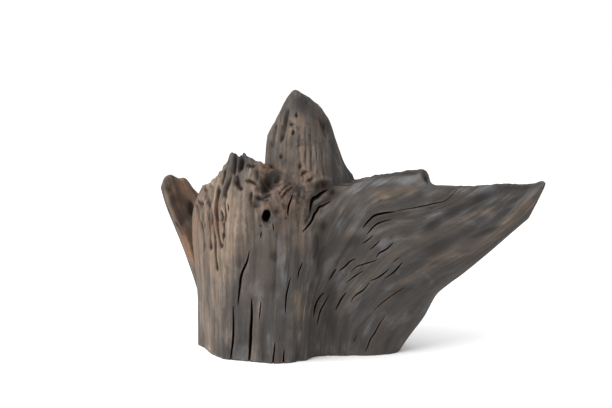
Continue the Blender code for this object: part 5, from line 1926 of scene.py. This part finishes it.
    def tidy_mesh(self) -> None:
        """Keep the main body, as triangles whose every edge joins two faces.

        The cutting can leave edges that four faces share. They are collapsed,
        and the flaps, wires and loose points that this leaves are removed.
        """
        shape = bmesh.new()
        shape.from_mesh(self.body.data)
        bmesh.ops.remove_doubles(shape, verts=shape.verts, dist=MERGE_GAP)
        bmesh.ops.triangulate(shape, faces=shape.faces)
        self.drop_crumbs(shape)
        for _ in range(self.pinch_rounds):
            if all(edge.is_manifold for edge in shape.edges):
                break
            shared = [edge for edge in shape.edges if len(edge.link_faces) > 2]
            bmesh.ops.collapse(shape, edges=shared)
            bmesh.ops.dissolve_degenerate(shape, edges=shape.edges, dist=self.pinch)
            flaps = [face for face in shape.faces
                     if all(len(edge.link_faces) == 1 for edge in face.edges)]
            bmesh.ops.delete(shape, geom=flaps, context="FACES")
            wires = [edge for edge in shape.edges if not edge.link_faces]
            bmesh.ops.delete(shape, geom=wires, context="EDGES")
            loose = [vert for vert in shape.verts if not vert.link_faces]
            bmesh.ops.delete(shape, geom=loose, context="VERTS")
            rims = [edge for edge in shape.edges if len(edge.link_faces) == 1]
            bmesh.ops.holes_fill(shape, edges=rims, sides=self.rim_sides)
            bmesh.ops.triangulate(shape, faces=shape.faces)
        LOG.info("open edges: %d", sum(not edge.is_manifold for edge in shape.edges))
        shape.to_mesh(self.body.data)
        shape.free()

    def attribute(self, name: str, values: np.ndarray) -> None:
        """Store one value or vector for each point.

        Args:
            name: The attribute's name.
            values: The values.
        """
        kind, slot = ("FLOAT", "value") if values.ndim == 1 else ("FLOAT_VECTOR", "vector")
        layer = self.body.data.attributes.new(name, kind, "POINT")
        layer.data.foreach_set(slot, values.astype(np.float32).ravel())

    def place_grain(self, points: np.ndarray) -> np.ndarray:
        """Read the grain's place off the nearest limb.

        Args:
            points: The body's points.

        Returns:
            A place in the grain for each point.
        """
        place = np.zeros((len(points), 3))
        closest = np.full(len(points), np.inf)
        for skin in self.skins:
            corners = np.zeros((len(points), 3), dtype=int)
            spots = np.zeros((len(points), 3))
            gaps = np.zeros(len(points))
            for number, point in enumerate(points):
                spots[number], _, face, gaps[number] = skin.tree.find_nearest(point)
                corners[number] = skin.faces[face][:3]
            legs = np.linalg.norm(skin.points[corners] - spots[:, None, :], axis=2)
            weights = 1 / np.maximum(legs, 1e-6) ** 2
            weights /= weights.sum(axis=1, keepdims=True)
            found = (skin.place[corners] * weights[..., None]).sum(axis=1)
            better = gaps < closest
            place[better] = found[better]
            closest[better] = gaps[better]
        return place

    def store_stains(self, flat: np.ndarray, facing: np.ndarray) -> None:
        """Store a mask for each kind of mark.

        Args:
            flat: The points (x, z), in metres.
            facing: How far each point looks to the front, from 0 to 1.
        """
        for kind, stains in STAINS.items():
            mask = np.zeros(len(flat))
            for stain in stains:
                narrow = stain.width < BROAD_STAIN
                weight = stain.strength * stroke_weight(flat, stain.width, stain.path, narrow)
                if narrow:
                    weight *= facing
                mask = 1 - (1 - mask) * (1 - weight)
            self.attribute(kind.value, mask)

    def store_dirt_shade_highlight(self, points: np.ndarray, normals: np.ndarray, facing: np.ndarray) -> None:
        """Store the hollows, which the finish darkens as dirt and painted shade, and the crests, which
        it lightens as painted highlight.

        Args:
            points: The body's points.
            normals: Their normals.
            facing: How far each point looks to the front, from 0 to 1.
        """
        flat = points[:, [0, 2]]
        even = np.ones(len(points)) * self.bend_ease
        near = self.smooth(points, even, self.close_rounds)
        wide = self.smooth(near, even, self.broad_rounds)
        close = ((near - points) * normals).sum(axis=1) / self.close_bend
        broad = ((wide - points) * normals).sum(axis=1) / self.broad_bend
        bend = close + broad
        groove = np.zeros(len(points))
        # Deep, narrow strokes darken their grooves further: dirt and painted shade.
        for limb in self.limbs():
            for stroke in limb.strokes:
                if stroke.depth > self.groove_dirt_and_shade_depth and stroke.width < self.groove_dirt_and_shade_width:
                    groove_dirt_and_shade = min(stroke.depth / self.full_groove_dirt_and_shade, 1.0)
                    weight = stroke_weight(flat, stroke.width, stroke.path, True)
                    groove = np.maximum(groove, groove_dirt_and_shade * weight * facing)
        self.attribute("hollow", np.clip(bend + self.groove_dirt_and_shade * groove, 0, self.bend_limit))
        self.attribute("crest", np.clip(-bend, 0, self.bend_limit))

    def weather(self, uncut: BVHTree) -> None:
        """Work out what the finish reads: grain, stains, hollows, crests and walls.

        Args:
            uncut: The skin before the checks were cut.
        """
        points = self.positions()
        self.attribute("grain_place", self.place_grain(points))
        normals = np.empty(len(points) * 3)
        self.body.data.vertices.foreach_get("normal", normals)
        normals = normals.reshape(-1, 3)
        facing = smooth_step(*self.front_span, -normals[:, 1])
        flat = points[:, [0, 2]]
        self.store_stains(flat, facing)
        self.store_dirt_shade_highlight(points, normals, facing)
        gnarl = np.zeros(len(points))
        for strength, middle, reach in self.gnarls:
            away = (flat / MM - np.array(middle)) / np.array(reach)
            gnarl += strength * np.exp(-(away ** 2).sum(axis=1))
        self.attribute("gnarl", np.clip(gnarl * facing, 0, 1))
        depth = np.array([uncut.find_nearest(point)[3] for point in points])
        self.attribute("check", np.clip(depth / self.check_scale, 0, 1))
        LOG.info("weathering: %d points", len(points))

    def mark_foot(self) -> None:
        """Give the sawn foot its own material and shade the rest smooth."""
        mesh = self.body.data
        mesh.materials.append(self.finish.foot)
        foot = len(mesh.materials) - 1
        for face in mesh.polygons:
            sawn = face.normal.z < self.sawn_slope and abs(face.center.z) < self.sawn_gap
            if sawn:
                face.material_index = foot
            face.use_smooth = not sawn

    def build(self) -> bpy.types.Object:
        """Grow, join, cut and dress the piece.

        Returns:
            The finished piece.
        """
        self.grow()
        self.blend_creases()
        uncut = self.cut_checks()
        self.tidy_mesh()
        self.weather(uncut)
        self.mark_foot()
        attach(self.body, "root")
        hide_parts(NODE)
        LOG.info("%s: %d triangles", PIECE, len(self.body.data.polygons))
        return self.body


@dataclass
class Studio:
    """A plain pale floor, soft light and the camera."""

    elevation: float = math.radians(9.0)
    distance: float = 1.6
    target: tuple = (0.010, 0.0, 0.16223)
    focal_pixels: float = 1454.5
    frame_width: float = 612.0
    sensor: float = 36.0
    floor_size: float = 12.0
    floor_tone: float = 0.98
    key_place: tuple = (-1.6, -0.95, 1.5)
    key_size: float = 2.2
    key_power: float = 75.0

    def floor(self) -> None:
        """Lay the floor."""
        half = self.floor_size / 2
        mesh = bpy.data.meshes.new("studio_floor")
        mesh.from_pydata([(-half, -half, 0), (half, -half, 0), (half, half, 0), (-half, half, 0)],
                         [], [(0, 1, 2, 3)])
        material = bpy.data.materials.new("pale_floor")
        material.use_nodes = True
        wiring = Wiring(material.node_tree)
        shader = material.node_tree.nodes["Principled BSDF"]
        spot = wiring.node("ShaderNodeTexCoord", {}).outputs["Object"]
        soft = wiring.noise(spot, 3.0, 2.0)
        wiring.feed(shader.inputs["Roughness"], wiring.span(soft, 0.3, 0.7, 0.9, 0.96))
        shader.inputs["Base Color"].default_value = (*[self.floor_tone] * 3, 1.0)
        shader.inputs["Specular IOR Level"].default_value = 0.1
        mesh.materials.append(material)
        floor = bpy.data.objects.new("studio_floor", mesh)
        bpy.context.scene.collection.objects.link(floor)

    def key_light(self) -> None:
        """Hang a soft square light that looks at the piece."""
        data = bpy.data.lights.new("key", "AREA")
        data.size = self.key_size
        data.energy = self.key_power
        light = bpy.data.objects.new("key", data)
        light.location = self.key_place
        aim = Vector(self.target) - Vector(self.key_place)
        light.rotation_euler = aim.to_track_quat("-Z", "Y").to_euler()
        bpy.context.scene.collection.objects.link(light)

    def lights(self) -> None:
        """Light the studio softly from all round, a little from the upper left."""
        world = bpy.data.worlds.new("studio")
        world.use_nodes = True
        back = world.node_tree.nodes["Background"]
        back.inputs["Color"].default_value = (1.0, 1.0, 1.0, 1.0)
        back.inputs["Strength"].default_value = 1.0
        bpy.context.scene.world = world
        self.key_light()
        bpy.context.scene.view_settings.view_transform = "Standard"

    def camera(self) -> None:
        """Set the camera at the photograph's angle."""
        data = bpy.data.cameras.new("camera")
        data.sensor_width = self.sensor
        data.lens = self.sensor * self.focal_pixels / self.frame_width
        camera = bpy.data.objects.new("camera", data)
        back = self.distance * math.cos(self.elevation)
        rise = self.distance * math.sin(self.elevation)
        camera.location = Vector(self.target) + Vector((0.0, -back, rise))
        camera.rotation_euler = (math.pi / 2 - self.elevation, 0.0, 0.0)
        bpy.context.scene.collection.objects.link(camera)
        bpy.context.scene.camera = camera


def main() -> None:
    """Build the piece and its studio."""
    logging.basicConfig(level=logging.INFO, format="%(message)s")
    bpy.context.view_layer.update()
    studio = Studio()
    studio.camera()
    studio.lights()
    studio.floor()
    BogOakPiece(OakFinish(Palette())).build()
    LOG.info("sizes written")


if __name__ == "__main__":
    main()
